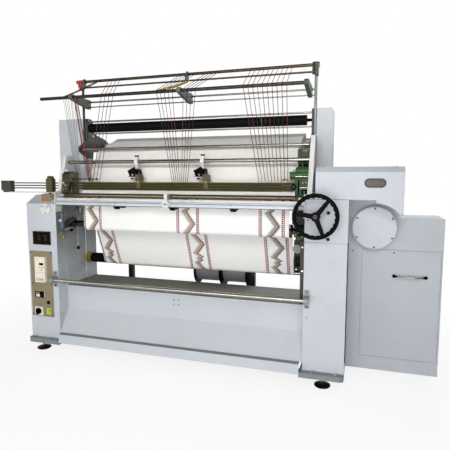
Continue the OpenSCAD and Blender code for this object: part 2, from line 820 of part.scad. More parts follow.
// Guide rods for the warp, the feed roller and the yarns
module guide_rods() {
    piece(chrome) {
        x_bar(-bracket_x, bracket_x, front_rod, front_rod_d);
        x_bar(-bracket_x, bracket_x, rear_rod, rear_rod_d);
        for (i = [0, 1]) {
            x_bar(-bracket_x, bracket_x, [feed_y, feed_rod_z[i]], feed_rod_d[i]);
            x_bar(-half_w, half_w, [upright_y, low_bar_z[i]], low_bar_d[i]);
        }
    }
}

// Black feed roller on its shaft
module feed_roller() {
    piece(black) {
        x_bar(26 - half_w, half_w - 46, [feed_y, feed_z], feed_d);
        x_bar(-half_w, half_w, [feed_y, feed_z], feed_shaft_d);
    }
}

// Brackets on the posts: bearings of the feed roller and the warp beam, ends of the rods
module roller_brackets() {
    nose = 20;
    piece(dark_steel) for (x = [-half_w, bracket_x]) difference() {
        yz_plate(x, bracket_t) polygon([
            [front_rod[0] - nose, front_rod[1] - 18], [front_rod[0] - nose, front_rod[1] + 18], [post_y,
                front_rod[1] + 80],
            [post_y, post_top_z], [post_y + 50, post_top_z], [column_d, post_top_z - 40], [column_d,
                warp_z + 80],
            [warp_axis[0], warp_z + 45], [warp_axis[0] + 45, warp_z + 20], [warp_axis[0] + 45, warp_z - 20],
            [warp_axis[0], warp_z - 45], [column_d, warp_z - 30], [post_y + 50, rear_rod[1] - 50],
            [post_y, rear_rod[1] - 50], [rear_rod[0], rear_rod[1] - 30]]);
        x_bar(x - 1, x + bracket_t + 1, [feed_y, feed_z], feed_shaft_d + 2 * fit);
        x_bar(x - 1, x + bracket_t + 1, warp_axis, warp_shaft_d + 2 * fit);
    }
}

// Warp beam: wound yarn on a steel shaft
module warp_beam() {
    piece(yarn_white) {
        x_bar(work_x - warp_w / 2, work_x + warp_w / 2, warp_axis, warp_d);
        x_bar(-half_w, half_w, warp_axis, warp_shaft_d);
    }
}

// Warp sheet from the wound beam over the rear rod down to the needles
module warp_sheet() {
    r_beam = warp_d / 2 + gap;
    r_rod = rear_rod_d / 2 + gap;
    end = [cloth_y, bed_z + 8];
    a1 = angle_to(warp_axis, rear_rod) - acos((r_beam - r_rod) / norm(rear_rod - warp_axis));
    a2 = angle_to(rear_rod, end) - acos((r_rod + warp_t / 2) / norm(end - rear_rod));
    out = warp_t * [cos(a2), sin(a2)];
    under = concat([warp_axis + r_beam * [cos(a1), sin(a1)]], arc(rear_rod, r_rod, a1, a2, 6),
        [end - out / 2]);
    over = concat([warp_axis + (r_beam + warp_t) * [cos(a1), sin(a1)]], arc(rear_rod, r_rod + warp_t, a1,
        a2, 6), [end + out / 2]);
    piece(yarn_white) yz_plate(work_x - warp_w / 2, warp_w)
        polygon(concat(under, [for (i = [len(over) - 1:-1:0]) over[i]]));
}

// Yarn frame: uprights in front of the posts, the top bar and the rod under it
module yarn_frame() {
    piece(dark_steel) {
        for (side = [-1, 1]) translate([side * upright_x, upright_y, upright_z0])
            cylinder(d = upright_d, h = top_bar_z - upright_z0);
        x_bar(-half_w - top_bar_over, half_w + 20, [upright_y, top_bar_z], top_bar_d);
        x_bar(-half_w, half_w, top_rod, top_rod_d);
    }
}

// Yarn bar in front of the frame, longer at the left
module yarn_bar() {
    piece(dark_steel) x_bar(yarn_bar_left, yarn_bar_right, [yarn_bar_y, yarn_bar_z], yarn_bar_d);
}

// Brackets of the yarn frame: arms to the yarn bar, end clamps and a middle clamp
module yarn_brackets() {
    low = low_bar_z[1];
    piece(olive) {
        for (x = arm_x) difference() {
            yz_plate(x, arm_t) polygon([
                [yarn_bar_y - 18, yarn_bar_z - 12], [yarn_bar_y - 18, yarn_bar_z + 12], [yarn_bar_y - 6,
                    yarn_bar_z + 20],
                [yarn_bar_y + 30, yarn_bar_z + 18], [upright_y - 30, low_bar_z[0] + 16], [upright_y + 8,
                    low_bar_z[0] + 16],
                [upright_y + 8, low - 14], [upright_y - 24, low - 14], [yarn_bar_y + 16, yarn_bar_z - 20]]);
            x_bar(x - 1, x + arm_t + 1, [yarn_bar_y, yarn_bar_z], yarn_bar_d + 2 * fit);
            for (i = [0, 1]) x_bar(x - 1, x + arm_t + 1, [upright_y, low_bar_z[i]], low_bar_d[i] + 2 * fit);
        }
        for (x = [-half_w + 1, -24, half_w - frame_clamp_t - 1]) difference() {
            yz_plate(x, frame_clamp_t) polygon([
                [top_rod[0] - 12, top_rod[1] - 8], [top_rod[0] - 12, top_rod[1] + 10], [upright_y - 18,
                    top_bar_z + 8],
                [upright_y - 8, top_bar_z + 18], [upright_y + 8, top_bar_z + 18], [upright_y + 18,
                    top_bar_z + 6],
                [upright_y + 18, top_bar_z - 8], [top_rod[0] + 14, top_rod[1] - 12], [top_rod[0],
                    top_rod[1] - 16]]);
            x_bar(x - 1, x + frame_clamp_t + 1, [upright_y, top_bar_z], top_bar_d + 2 * fit);
            x_bar(x - 1, x + frame_clamp_t + 1, top_rod, top_rod_d + 2 * fit);
        }
    }
}

// Weft yarns: from the top bar over the yarn bar and down to the weft bars
module weft_yarns() {
    reach = yarn_d / 2 + gap;
    bar = [yarn_bar_y, yarn_bar_z];
    r = yarn_bar_d / 2 + reach;
    start = [upright_y - top_bar_d / 2 - reach, top_bar_z];
    end = [weft_y, weft_z + 2 * weft_pitch + weft_h + 1];
    a_in = angle_to(bar, start) + acos(r / norm(start - bar));
    a_out = 360 + angle_to(bar, end) - acos(r / norm(end - bar));
    bend = arc(bar, r, a_in, a_out, 3);
    piece([0.45, 0.1, 0.12]) for (b = [0:2], i = [0:yarn_n[b] - 1]) {
        past_arm = b == 1 && i > yarn_n[b] / 2 ? yarn_arm_gap : 0;
        x_bar_at = band_x[b] + yarn_bar_at[b] + yarn_bar_step[b] * i + past_arm;
        x_top = x_bar_at + yarn_top_shift[b];
        x_end = band_x[b] + yarn_end_at[b] + yarn_end_step[b] * i;
        tube(concat([[x_top, start[0], start[1]]], [for (q = bend) [x_bar_at, q[0], q[1]]], [[x_end,
            end[0], end[1]]]), yarn_d);
    }
}

// A roller on its shaft between the column bearings
module roller(at, d, x0, x1) {
    x_bar(x0, x1, at, d);
    x_bar(-half_w + 2, half_w - 2, at, roller_shaft_d);
}
module takedown_roller() piece(dark_steel) roller(take_axis, take_d, cloth_x0 - roller_over,
    cloth_x1 + roller_over);
module press_roller() piece(black) roller(press_axis, press_d, cloth_x0 - roller_over,
    cloth_x1 + roller_over);
module cloth_roller() piece(black) roller(cloth_axis, cloth_roller_d, wall_gap - half_w, half_w - wall_gap);

// Bearing blocks on the inner walls for the three rollers
module roller_bearings() {
    margin = 22;
    piece(casting_green) for (x = [-half_w, half_w - bearing_t]) {
        difference() {
            yz_plate(x, bearing_t) polygon([
                [take_axis[0] - margin, take_z - 34], [take_axis[0] - margin, take_z + 14],
                    [take_axis[0], take_z + 34],
                [press_axis[0], press_axis[1] + 34], [press_axis[0] + 34, press_axis[1] + 14],
                [press_axis[0] + 34, press_axis[1] - 30], [take_axis[0] + 30, take_z - 44]]);
            for (at = [take_axis, press_axis]) x_bar(x - 1, x + bearing_t + 1, at,
                roller_shaft_d + 2 * fit);
        }
        difference() {
            union() {
                x_bar(x, x + bearing_t, cloth_axis, 46);
                x_bar(x < 0 ? x : x + bearing_t - 10, x < 0 ? x + 10 : x + bearing_t, cloth_axis, 84);
            }
            x_bar(x - 1, x + bearing_t + 1, cloth_axis, roller_shaft_d + 2 * fit);
        }
    }
}

// Cloth: down in front, under the take-down roller, over the press roller, down to the cloth roller
module fabric() {
    steps = 24;
    r1 = take_d / 2 + gap;
    r2 = press_d / 2 + gap;
    r3 = cloth_roller_d / 2 + gap;
    cross_a = angle_to(press_axis, cloth_axis)
        + acos((r2 + r3 + cloth_t) / norm(cloth_axis - press_axis));
    wrap = 300;
    top = [[cloth_y + cloth_t, bed_z + 2]];
    top_out = [[cloth_y, bed_z + 2]];
    near = concat(top, arc(take_axis, r1, 180, 360 + nip_angle, steps),
        arc(press_axis, r2 + cloth_t, 180 + nip_angle, cross_a, steps),
        arc(cloth_axis, r3, cross_a + 180, cross_a + 180 + wrap, 2 * steps));
    far = concat(top_out, arc(take_axis, r1 + cloth_t, 180, 360 + nip_angle, steps),
        arc(press_axis, r2, 180 + nip_angle, cross_a, steps),
        arc(cloth_axis, r3 + cloth_t, cross_a + 180, cross_a + 180 + wrap, 2 * steps));
    piece(yarn_white) yz_plate(cloth_x0, cloth_w)
        polygon(concat(near, [for (i = [len(far) - 1:-1:0]) far[i]]));
}

// Stand behind the lower box that carries the warp spools
module beam_stand() {
    half = spool_shaft_d / 2 + 8;
    piece(dark_steel) for (x = stand_x) difference() {
        yz_plate(x, stand_w) polygon([
            [deck_back_y, stand_arm_z[0]], [deck_back_y, stand_arm_z[1]], [spool_axis[0] - half,
                stand_arm_z[1] + 30],
            [spool_axis[0] - half, spool_axis[1] + half], [spool_axis[0] + half, spool_axis[1] + half],
            [spool_axis[0] + half, stand_arm_z[0]]]);
        x_bar(x - 1, x + stand_w + 1, spool_axis, spool_shaft_d + 2 * fit);
    }
}

// Two flanged warp spools pinned to one shaft
module spools() {
    piece(black) {
        x_bar(stand_x[0], stand_x[1] + stand_w, spool_axis, spool_shaft_d);
        for (i = [0, 1]) translate([spool_x[i], spool_axis[0], spool_axis[1]]) rotate([0, 90, 0]) {
            cylinder(d = spool_core_d, h = spool_w[i]);
            cylinder(d = spool_d, h = spool_flange_t);
            translate([0, 0, spool_w[i] - spool_flange_t]) cylinder(d = spool_d, h = spool_flange_t);
        }
    }
}

// Front stop rod with its collars
module stop_rod() {
    piece(chrome) {
        x_bar(-stop_bracket_x - stop_bracket_w, stop_bracket_x + stop_bracket_w, [stop_y, stop_z], stop_d);
        for (x = collar_x) x_bar(x, x + 16, [stop_y, stop_z], stop_d + 10);
    }
}

// Brackets that carry the stop rod on the column fronts
module stop_brackets() {
    eye = stop_d / 2 + 8;
    piece(dark_steel) for (x = [-stop_bracket_x - stop_bracket_w, stop_bracket_x]) difference() {
        union() {
            block([x, -6, stop_z - stop_bracket_h / 2], [x + stop_bracket_w, 0,
                stop_z + stop_bracket_h / 2]);
            block([x, stop_y, stop_z - eye], [x + stop_bracket_w, -5, stop_z + eye]);
            x_bar(x, x + stop_bracket_w, [stop_y, stop_z], 2 * eye);
        }
        x_bar(x - 1, x + stop_bracket_w + 1, [stop_y, stop_z], stop_d + 2 * fit);
    }
}

// Control plate on the left column
module control_plate() {
    piece(panel_bronze) difference() {
        xz_plate(-control_t, control_t) translate([control_x0, control_z]) round_rect([control_w,
            control_h], 5);
        for (at = [black_at, green_at]) y_bar(at, -control_t - 1, 1, button_stem_d + 2 * fit);
    }
}

// Dark display window above the control plate
module display_window() {
    piece(black) {
        xz_plate(-5, 5) translate([window_x0, window_z0]) round_rect(window_size, 4);
    }
}

// Units on the control plate: inverter, meter and switch plate
module panel_units() {
    y0 = -control_t;
    piece(white) difference() {
        union() {
            xz_plate(y0 - unit_t[0], unit_t[0]) translate(inverter_at) round_rect(inverter_size, 6);
            xz_plate(y0 - unit_t[1], unit_t[1]) translate(meter_at) round_rect(meter_size, 4);
            xz_plate(y0 - unit_t[2], unit_t[2]) translate(switch_at) round_rect(switch_size, 5);
        }
        y_bar(knob_axis, y0 - unit_t[2] - 1, y0 - 1, knob_shaft_d + 2 * fit);
    }
}

// Rotary main switch knob with a grip bar
module switch_knob() {
    face = switch_face_y - gap;
    piece(black) {
        y_bar(knob_axis, face, face + unit_t[2] - 1, knob_shaft_d);
        y_bar(knob_axis, face - 8, face, knob_d);
        block([knob_axis[0] - 6, face - 24, knob_axis[1] - knob_d / 2 + 1], [knob_axis[0] + 6, face - 7,
            knob_axis[1] + knob_d / 2 - 1]);
    }
}

// Push button with its stem through the control plate
module push_button(at) {
    y_bar(at, -control_t - button_travel - 8, -control_t - button_travel - 1, button_d);
    y_bar(at, -control_t - button_travel - 2, button_stem, button_stem_d);
}
module black_button() piece(black) push_button(black_at);
module green_button() piece([0.62, 0.72, 0.12]) push_button(green_at);

// Round bearing cap on the left column
module bearing_cap() {
    piece(white) translate([cap_at[0], 0, cap_at[1]]) rotate([90, 0, 0]) rotate_extrude() polygon([
        [0, 0], [cap_d / 2, 0], [cap_d / 2, 7], [cap_d / 2 - 3, 10], [18, 10], [18, 14], [16, 16], [0,
            16]]);
}

// Junction box on the sloped column top
module junction_box() {
    rise = (column_top_z - column_front_z) / column_slope_d;
    y0 = 20;
    y1 = 78;
    top_z = column_front_z + 66;
    piece([0.78, 0.72, 0.58]) yz_plate(box_x[0], box_x[1] - box_x[0]) polygon([
        [y0, column_front_z + rise * y0], [y0, top_z - 8], [y0 + 8, top_z], [y1, top_z], [y1,
            column_front_z + rise * y1]]);
}

// Drive hood with a bevelled top edge and a skirt round the round cover
module hood() {
    top_z = column_top_z + hood_h;
    x1 = hood_x + hood_w;
    piece(paint) difference() {
        union() {
            yz_plate(hood_x, hood_w) polygon([
                [0, column_top_z], [0, top_z - hood_bevel[1]], [hood_bevel[0], top_z], [hood_d, top_z],
                    [hood_d, column_top_z]]);
            block([outer_x, 0, column_top_z - hood_skirt], [x1, hood_d, column_top_z + 1]);
        }
        y_bar(cover_axis, -1, hood_d + 1, 2 * (cover_r + cover_gap));
        block([outer_x - 1, -1, column_top_z - hood_skirt - 1], [cover_axis[0], hood_d + 1, column_top_z]);
    }
    piece(paint) block([outer_x, cabinet_y, cabinet_top_z], [hood_x + hood_w, hood_d, column_top_z + 1]);
}

// Round cover on the cabinet front, with counterbores for its screws
module round_cover() {
    piece(paint) translate([cover_axis[0], cabinet_y, cover_axis[1]]) rotate([90, 0, 0]) difference() {
        rotate_extrude($fn = 96) polygon([
            [0, 0], [cover_r, 0], [cover_r, cover_t - cover_edge], [cover_r - cover_edge, cover_t], [0,
                cover_t]]);
        for (i = [0:cover_screw_n - 1]) rotate(90 + 360 * i / cover_screw_n)
            translate([cover_r - 13, 0, cover_t - 3]) cylinder(d = 11, h = 4);
    }
}

// Drive cabinet: a sheet box with a door opening and a lip behind it
module cabinet() {
    inner = [outer_x + wall, cabinet_y + wall, cabinet_bottom_z + wall];
    lip_y = cabinet_y + wall;
    piece(paint) {
        difference() {
            block([outer_x, cabinet_y, cabinet_bottom_z], [cabinet_x1, column_d, cabinet_top_z]);
            block(inner, [cabinet_x1 - wall, column_d - wall, cabinet_top_z - wall]);
            block([opening_x[0], cabinet_y - 1, opening_z[0]], [opening_x[1], lip_y + 1, opening_z[1]]);
        }
        difference() {
            block([opening_x[0] - lip, lip_y, opening_z[0] - lip], [cabinet_x1 - wall, lip_y + sheet_t,
                opening_z[1] + lip]);
            block([opening_x[0] + lip, lip_y - 1, opening_z[0] + lip], [opening_x[1] - lip,
                lip_y + sheet_t + 1, opening_z[1] - lip]);
        }
    }
}

// Lift-off cover of the cabinet
module cabinet_cover() {
    piece(paint) block(
        [opening_x[0] + door_gap, cabinet_y, opening_z[0] + door_gap],
        [opening_x[1] - door_gap, cabinet_y + wall - gap, opening_z[1] - door_gap]);
}

// Bow handle on the cover
module cover_handle() {
    half = (handle_x[1] - handle_x[0]) / 2;
    rise = handle_reach - handle_foot_t;
    bow_r = (half * half + rise * rise) / (2 * rise);
    sweep = 2 * asin(half / bow_r);
    piece(dark_steel) {
        translate([handle_x[0] + half, cabinet_y - handle_reach + bow_r, handle_z]) rotate([0, 0,
            -90 - sweep / 2])
            rotate_extrude(angle = sweep) translate([bow_r, 0]) circle(d = handle_d);
        for (x = handle_x) y_bar([x, handle_z], cabinet_y - handle_foot_t - 1, cabinet_y, handle_foot_d);
    }
}

// Motor on its foot inside the cabinet
module motor() {
    foot_z = cabinet_bottom_z + wall;
    piece(plate_grey) difference() {
        union() {
            y_bar(motor_axis, motor_y, motor_y + motor_len, motor_d);
            for (i = [0:11]) translate([motor_axis[0], motor_y + 20, motor_axis[1]]) rotate([0, 30 * i, 0])
                translate([-2, 0, 0]) cube([4, motor_len - 40, motor_d / 2 + 8]);
            block([motor_axis[0] - 70, motor_y + 30, foot_z], [motor_axis[0] + 70,
                motor_y + motor_len - 30, foot_z + 12]);
            block([motor_axis[0] - 50, motor_y + 40, foot_z + 11], [motor_axis[0] + 50,
                motor_y + motor_len - 40, motor_axis[1]]);
        }
        y_bar(motor_axis, motor_y - 1, motor_y + 40, motor_shaft_d + 2 * fit);
    }
}

// Grooved pulley, with its shaft into what carries it
module pulley(at, r, shaft_d, shaft_end) {
    groove = belt_t / 2 + 2;
    rim = r + belt_t / 2 + 1;
    translate([at[0], pulley_y, at[1]]) rotate([-90, 0, 0]) rotate_extrude($fn = 72) polygon([
        [0, 0], [rim, 0], [rim, 4], [r - groove, 4 + (pulley_w - belt_w) / 4], [r - groove,
            pulley_w - 4 - (pulley_w - belt_w) / 4],
        [rim, pulley_w - 4], [rim, pulley_w], [0, pulley_w]]);
    y_bar(at, pulley_y + pulley_w - 1, shaft_end, shaft_d);
}
module motor_pulley() piece(dark_steel) pulley(motor_axis, motor_r, motor_shaft_d, motor_y + 38);
module main_pulley() piece(dark_steel) pulley(main_axis, main_r, main_shaft_d, column_d - wall - gap);

// Drive belt round both pulleys
module drive_belt() {
    steps = 40;
    base = angle_to(main_axis, motor_axis);
    d = norm(motor_axis - main_axis);
    lean = acos((main_r - motor_r) / d);
    function loop(off) = concat(
        arc(main_axis, main_r + off, base + lean, base + 360 - lean, steps),
        arc(motor_axis, motor_r + off, base - lean, base + lean, steps / 2));
    belt_y = pulley_y + (pulley_w - belt_w) / 2 + 1.5;
    piece(black) xz_plate(belt_y, belt_w - 3) difference() {
        polygon(loop(belt_t / 2));
        polygon(loop(-belt_t / 2));
    }
}

// Handwheel with a rim scalloped on the inside, three spokes and a hub on its shaft
module handwheel() {
    scallop = [for (i = [0:grip_n * 8 - 1]) let(a = 360 * i / (grip_n * 8))
        (wheel_r - wheel_rim_d / 2 - grip_depth / 2 + grip_depth / 2 * cos(grip_n * a)) * [cos(a), sin(a)]];
    piece(black) translate([wheel_axis[0], 0, wheel_axis[1]]) rotate([90, 0, 0]) {
        translate([0, 0, -wheel_y]) {
            rotate_extrude($fn = 96) translate([wheel_r, 0]) circle(d = wheel_rim_d, $fn = 32);
            translate([0, 0, -6]) linear_extrude(12) difference() {
                circle(wheel_r, $fn = 96);
                polygon(scallop);
            }
            for (i = [0:wheel_spokes - 1]) rotate(wheel_spoke_turn + 360 * i / wheel_spokes) {
                translate([0, 0, -7]) linear_extrude(14)
                    polygon([[10, -15], [wheel_r - 4, -10], [wheel_r - 4, 10], [10, 15]]);
            }
            rotate(wheel_spoke_turn) translate([wheel_r - 34, 0, 0]) cylinder(d = 26, h = 16);
        }
        translate([0, 0, -wheel_y - 24]) cylinder(d = wheel_hub_d, h = 36);
        translate([0, 0, -wheel_y + 11]) cylinder(d = 26, h = 6);
        translate([0, 0, -wheel_y + 16]) cylinder(d = 20 / cos(30), h = -wheel_front + wheel_y - 16,
            $fn = 6);
        translate([0, 0, -wheel_shaft_in]) cylinder(d = wheel_shaft_d, h = wheel_shaft_in - wheel_y - 20);
    }
}

// Left overhang: tray, return block and guide block for the pull rods
module side_rail() {
    y0 = weft_y - block_d / 2;
    y1 = weft_y + block_d / 2;
    piece(dark_steel) difference() {
        union() {
            block([block_x[0], y0, block_z[0]], [block_x[1], y1, block_z[1]]);
            block([block_x[0] + 16, y0, tray_z], [-end_plate_x - end_plate_t, y1, tray_z + tray_t]);
            block([block_x[0] + 16, y0, tray_z], [block_x[1], y1, block_z[0] + 1]);
            block([guide_block_x[0] - 20, y0, column_top_z], [guide_block_x[1] + 10, y1, tray_z + 1]);
            block([guide_block_x[0], y0, tray_z], [guide_block_x[1], y1, weft_z + 74]);
            x_bar(guide_block_x[0] + 8, guide_block_x[1] - 8, [weft_y, weft_z + 76], 34);
        }
        for (i = [0:2]) x_bar(rod_end - weft_hole, guide_block_x[1] + 1,
            [weft_y, weft_z + i * weft_pitch + weft_h / 2], pull_d + 2 * gap);
    }
}

// Fittings on the inner walls: damper and hanging rod at the left, drive cases and a guard bar at the right
module wall_fittings() {
    x = -half_w;
    base_z = rail_z - 165;
    rod_y = press_axis[0] + 56;
    case_z = take_z + 54;
    drive_y = take_axis[0] + 35;
    piece([0.35, 0.42, 0.52]) {
        translate([x + 15, 42, base_z]) cylinder(d = 26, h = 110);
        translate([x + 15, 42, base_z - 34]) cylinder(d = 10, h = 40);
        for (z = [base_z + 16, base_z + 82]) block([x, 36, z], [x + 15, 48, z + 14]);
        block([x, 34, base_z - 40], [x + 22, 50, base_z - 28]);
        block([x - recess_depth, rod_y - 9, take_z - 172], [x + 14, rod_y + 9, take_z - 148]);
        translate([x + 6, rod_y, take_z - 247]) cylinder(d = 8, h = 320);
        difference() {
            block([half_w - 88, take_axis[0] - 18, case_z], [half_w, take_axis[0] + 44, bed_z - bed_h - 6]);
            block([half_w - 89, take_axis[0] - 19, case_z - 1], [half_w - 64, take_axis[0] - 4,
                case_z + 24]);
        }
        block([half_w - 80, drive_y, take_z - 240], [half_w + recess_depth, drive_y + 50, take_z - 50]);
        y_bar([half_w - 58, take_z - 100], drive_y - 20, drive_y + 1, 54);
        x_bar(half_w - 80, half_w + recess_depth, [drive_y + 6, take_z - 255], 12);
        block([half_w - 24, 24, deck_z + 23], [half_w, 52, take_z - 40]);
    }
}

base_plates();
levelling_feet();
left_column();
right_column();
rear_posts();
front_panel();
deck_panel();
base_beam();
needle_bed();
needle_bar();
guide_bar();
weft_bar_1();
weft_bar_2();
weft_bar_3();
front_rail();
rail_brackets();
end_plates();
left_lifter();
right_lifter();
tension_rod();
hanger_clamps();
hanger_bodies();
guide_rods();
feed_roller();
roller_brackets();
warp_beam();
warp_sheet();
yarn_frame();
yarn_bar();
yarn_brackets();
weft_yarns();
takedown_roller();
press_roller();
cloth_roller();
roller_bearings();
fabric();
beam_stand();
spools();
stop_rod();
stop_brackets();
control_plate();
display_window();
panel_units();
switch_knob();
black_button();
green_button();
bearing_cap();
junction_box();
hood();
round_cover();
cabinet();
cabinet_cover();
cover_handle();
motor();
motor_pulley();
main_pulley();
drive_belt();
handwheel();
side_rail();
wall_fittings();
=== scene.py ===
import json
import math
import random

import bmesh
import bpy
import numpy as np
from mathutils import Matrix, Vector


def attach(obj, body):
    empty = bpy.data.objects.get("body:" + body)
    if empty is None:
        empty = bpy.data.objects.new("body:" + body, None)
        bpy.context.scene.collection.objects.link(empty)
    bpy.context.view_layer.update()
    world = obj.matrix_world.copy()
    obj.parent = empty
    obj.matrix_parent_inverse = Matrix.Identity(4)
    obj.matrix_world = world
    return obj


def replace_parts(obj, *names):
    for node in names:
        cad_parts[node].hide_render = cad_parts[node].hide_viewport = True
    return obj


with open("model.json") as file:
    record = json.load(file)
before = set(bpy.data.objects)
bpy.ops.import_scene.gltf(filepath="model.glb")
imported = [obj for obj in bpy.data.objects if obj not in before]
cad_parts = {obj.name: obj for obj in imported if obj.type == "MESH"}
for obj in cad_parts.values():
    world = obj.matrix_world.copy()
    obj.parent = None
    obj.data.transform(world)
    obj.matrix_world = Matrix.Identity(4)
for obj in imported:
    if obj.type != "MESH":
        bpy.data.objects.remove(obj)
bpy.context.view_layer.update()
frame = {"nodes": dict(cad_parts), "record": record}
NODES = frame["nodes"]
SCENE = bpy.context.scene

# The machine's own frame, in millimetres, moves by this much to the shared frame
SHIFT_X, SHIFT_Y = -112.0, -320.0
FRONT, BACK, LEFT, RIGHT = (0, -1, 0), (0, 1, 0), (-1, 0, 0), (1, 0, 0)
UP, DOWN = (0, 0, 1), (0, 0, -1)
SIDES = (-1, 1)


def P(x, y, z):
    """A point of the machine's own frame in millimetres, as scene metres."""
    return Vector(((x + SHIFT_X) / 1000, (y + SHIFT_Y) / 1000, z / 1000))


def linear(c):
    c = c / 255
    return c / 12.92 if c <= 0.04045 else ((c + 0.055) / 1.055) ** 2.4


def ink(tone, f=1.0):
    """Linear colour of an sRGB tone from 0 to 255, f times as bright."""
    return (*(linear(c) * f for c in tone), 1.0)


# Places in a plane, as pairs of numbers
def polar(c, r, deg):
    a = math.radians(deg)
    return c[0] + r * math.cos(a), c[1] + r * math.sin(a)


def arc(c, r, a0, a1, n):
    return [polar(c, r, a0 + (a1 - a0) * i / n) for i in range(n + 1)]


def bearing(a, b):
    return math.degrees(math.atan2(b[1] - a[1], b[0] - a[0]))


def lead(r, a, b):
    """Angle between the line from a to b and the radius r at a where a tangent leaves."""
    return math.degrees(math.acos(r / math.dist(a, b)))


def dense(points, step):
    out = [points[0]]
    for a, b in zip(points, points[1:]):
        k = max(1, math.ceil(math.dist(a, b) / step))
        out += [(a[0] + (b[0] - a[0]) * i / k, a[1] + (b[1] - a[1]) * i / k) for i in range(1, k + 1)]
    return out


def distances(route):
    """Length of a route up to each of its points."""
    run = [0.0]
    for a, b in zip(route, route[1:]):
        run.append(run[-1] + math.dist(a, b))
    return run


def with_normals(route):
    for i, p in enumerate(route):
        a, b = route[max(i - 1, 0)], route[min(i + 1, len(route) - 1)]
        d = Vector((b[0] - a[0], b[1] - a[1])).normalized()
        yield p, (-d[1], d[0])


# Node helpers
class Nodes:
    """Short calls for the nodes of one node tree."""

    def __init__(self, tree):
        self.tree = tree
        tree.nodes.clear()

    def add(self, kind, *values, **props):
        """New node with its properties set and its first inputs fed; None leaves an input alone."""
        n = self.tree.nodes.new(kind)
        for key, v in props.items():
            setattr(n, key, v)
        for sock, v in zip(n.inputs, values):
            if v is not None:
                self.feed(sock, v)
        return n

    def feed(self, sock, v):
        if hasattr(v, "is_output"):
            self.tree.links.new(v, sock)
        else:
            sock.default_value = v

    def math(self, op, a, b=None):
        return self.add("ShaderNodeMath", a, b, operation=op).outputs[0]

    def sub(self, a, b):
        return self.math("SUBTRACT", a, b)

    def mul(self, a, b):
        return self.math("MULTIPLY", a, b)

    def span(self, v, a, b, c=0.0, d=1.0):
        """Value from a to b as one from c to d."""
        return self.add("ShaderNodeMapRange", v, a, b, c, d).outputs[0]


class Tree(Nodes):
    """Material with one principled shader."""

    def __init__(self, name):
        self.mat = bpy.data.materials.new(name)
        self.mat.use_nodes = True
        super().__init__(self.mat.node_tree)
        self.bsdf = self.add("ShaderNodeBsdfPrincipled")
        self.add("ShaderNodeOutputMaterial", self.bsdf.outputs[0])

    def surface(self, **inputs):
        """Feed the shader's inputs and give the material."""
        for key, v in inputs.items():
            self.feed(self.bsdf.inputs[key.replace("_", " ")], v)
        return self.mat

    def mix(self, fac, a, b):
        return self.add("ShaderNodeMix", fac, *[None] * 5, a, b, data_type="RGBA").outputs[2]

    def mix_float(self, fac, a, b):
        return self.add("ShaderNodeMix", fac, None, a, b, data_type="FLOAT").outputs[0]

    def own(self):
        """The piece's own coordinates."""
        return self.add("ShaderNodeTexCoord").outputs["Object"]

    def noise(self, scale, detail=3.0, rough=0.55, stretch=None):
        v = self.own()
        if stretch:
            m = self.add("ShaderNodeMapping", v)
            m.inputs["Scale"].default_value = stretch
            v = m.outputs[0]
        n = self.add("ShaderNodeTexNoise", v)
        for key, value in (("Scale", scale), ("Detail", detail), ("Roughness", rough)):
            n.inputs[key].default_value = value
        return n.outputs["Fac"]

    def step(self, v, edge, soft):
        """0 below edge, 1 above, over a soft width."""
        return self.span(v, edge - soft, edge + soft)

    def near(self, v, centre, reach, soft):
        """1 within reach of a centre, 0 further off."""
        off = self.math("ABSOLUTE", self.sub(v, centre))
        return self.sub(1.0, self.step(off, reach, soft))

    def bevel(self, r):
        return self.add("ShaderNodeBevel", r, samples=4).outputs[0]

    def edge(self, r):
        """1 along sharp edges, 0 on flats."""
        flat = self.add("ShaderNodeNewGeometry").outputs["Normal"]
        d = self.add("ShaderNodeVectorMath", self.bevel(r), flat, operation="DOT_PRODUCT")
        return self.span(d.outputs["Value"], 0.97, 0.75)

    def bump(self, h, strength, dist, normal=None):
        n = self.add("ShaderNodeBump", strength, dist)
        self.feed(n.inputs["Height"], h)
        if normal is not None:
            self.feed(n.inputs["Normal"], normal)
        return n.outputs[0]

    def axes(self, vector=None):
        """X, Y and Z of a vector, or of the piece's own coordinates."""
        return self.add("ShaderNodeSeparateXYZ", self.own() if vector is None else vector).outputs

    def zigzag(self, v, corners):
        """Straight runs between (place, value) corners, both from 0 to 1."""
        n = self.add("ShaderNodeFloatCurve")
        pts = n.mapping.curves[0].points
        for x, y in corners[1:-1]:
            pts.new(x, y)
        for pt, corner in zip(pts, corners):
            pt.location = corner
            pt.handle_type = "VECTOR"
        n.mapping.update()
        self.feed(n.inputs[1], v)
        return n.outputs[0]

    def painted(self, tone, vary, grime):
        """Blotched colour with specks of grime."""
        blot = self.span(self.noise(3.2, 5.0), 0.3, 0.7)
        base = self.mix(blot, ink(tone, 1 - vary), ink(tone, 1 + vary * 0.6))
        dirt = self.span(self.noise(17.0, 6.0, 0.7), 0.52, 0.78, 0.0, grime)
        return self.mix(dirt, base, ink(tone, 0.62))

    def patchy(self, rough):
        """Roughness that varies from place to place."""
        return self.span(self.noise(9.0, 4.0), 0.3, 0.7, rough - 0.06, rough + 0.08)

    def peel(self, grain, radius):
        """Fine orange peel over softened edges."""
        return self.bump(self.noise(grain, 2.0), 0.12, 0.0004, self.bevel(radius))


# Materials: tones are sRGB, lengths metres
M = {}
PAINT_EDGE, METAL_EDGE, BAR_EDGE, GLASS_EDGE = 0.0022, 0.0012, 0.0015, 0.001
FINE_PEEL = 260.0
# darker copy of the paint's tone: painted shade on the cabinet, its cover, the hood's sides and the back
# panels
SIDE_SHADED_TONE = (192, 197, 203)


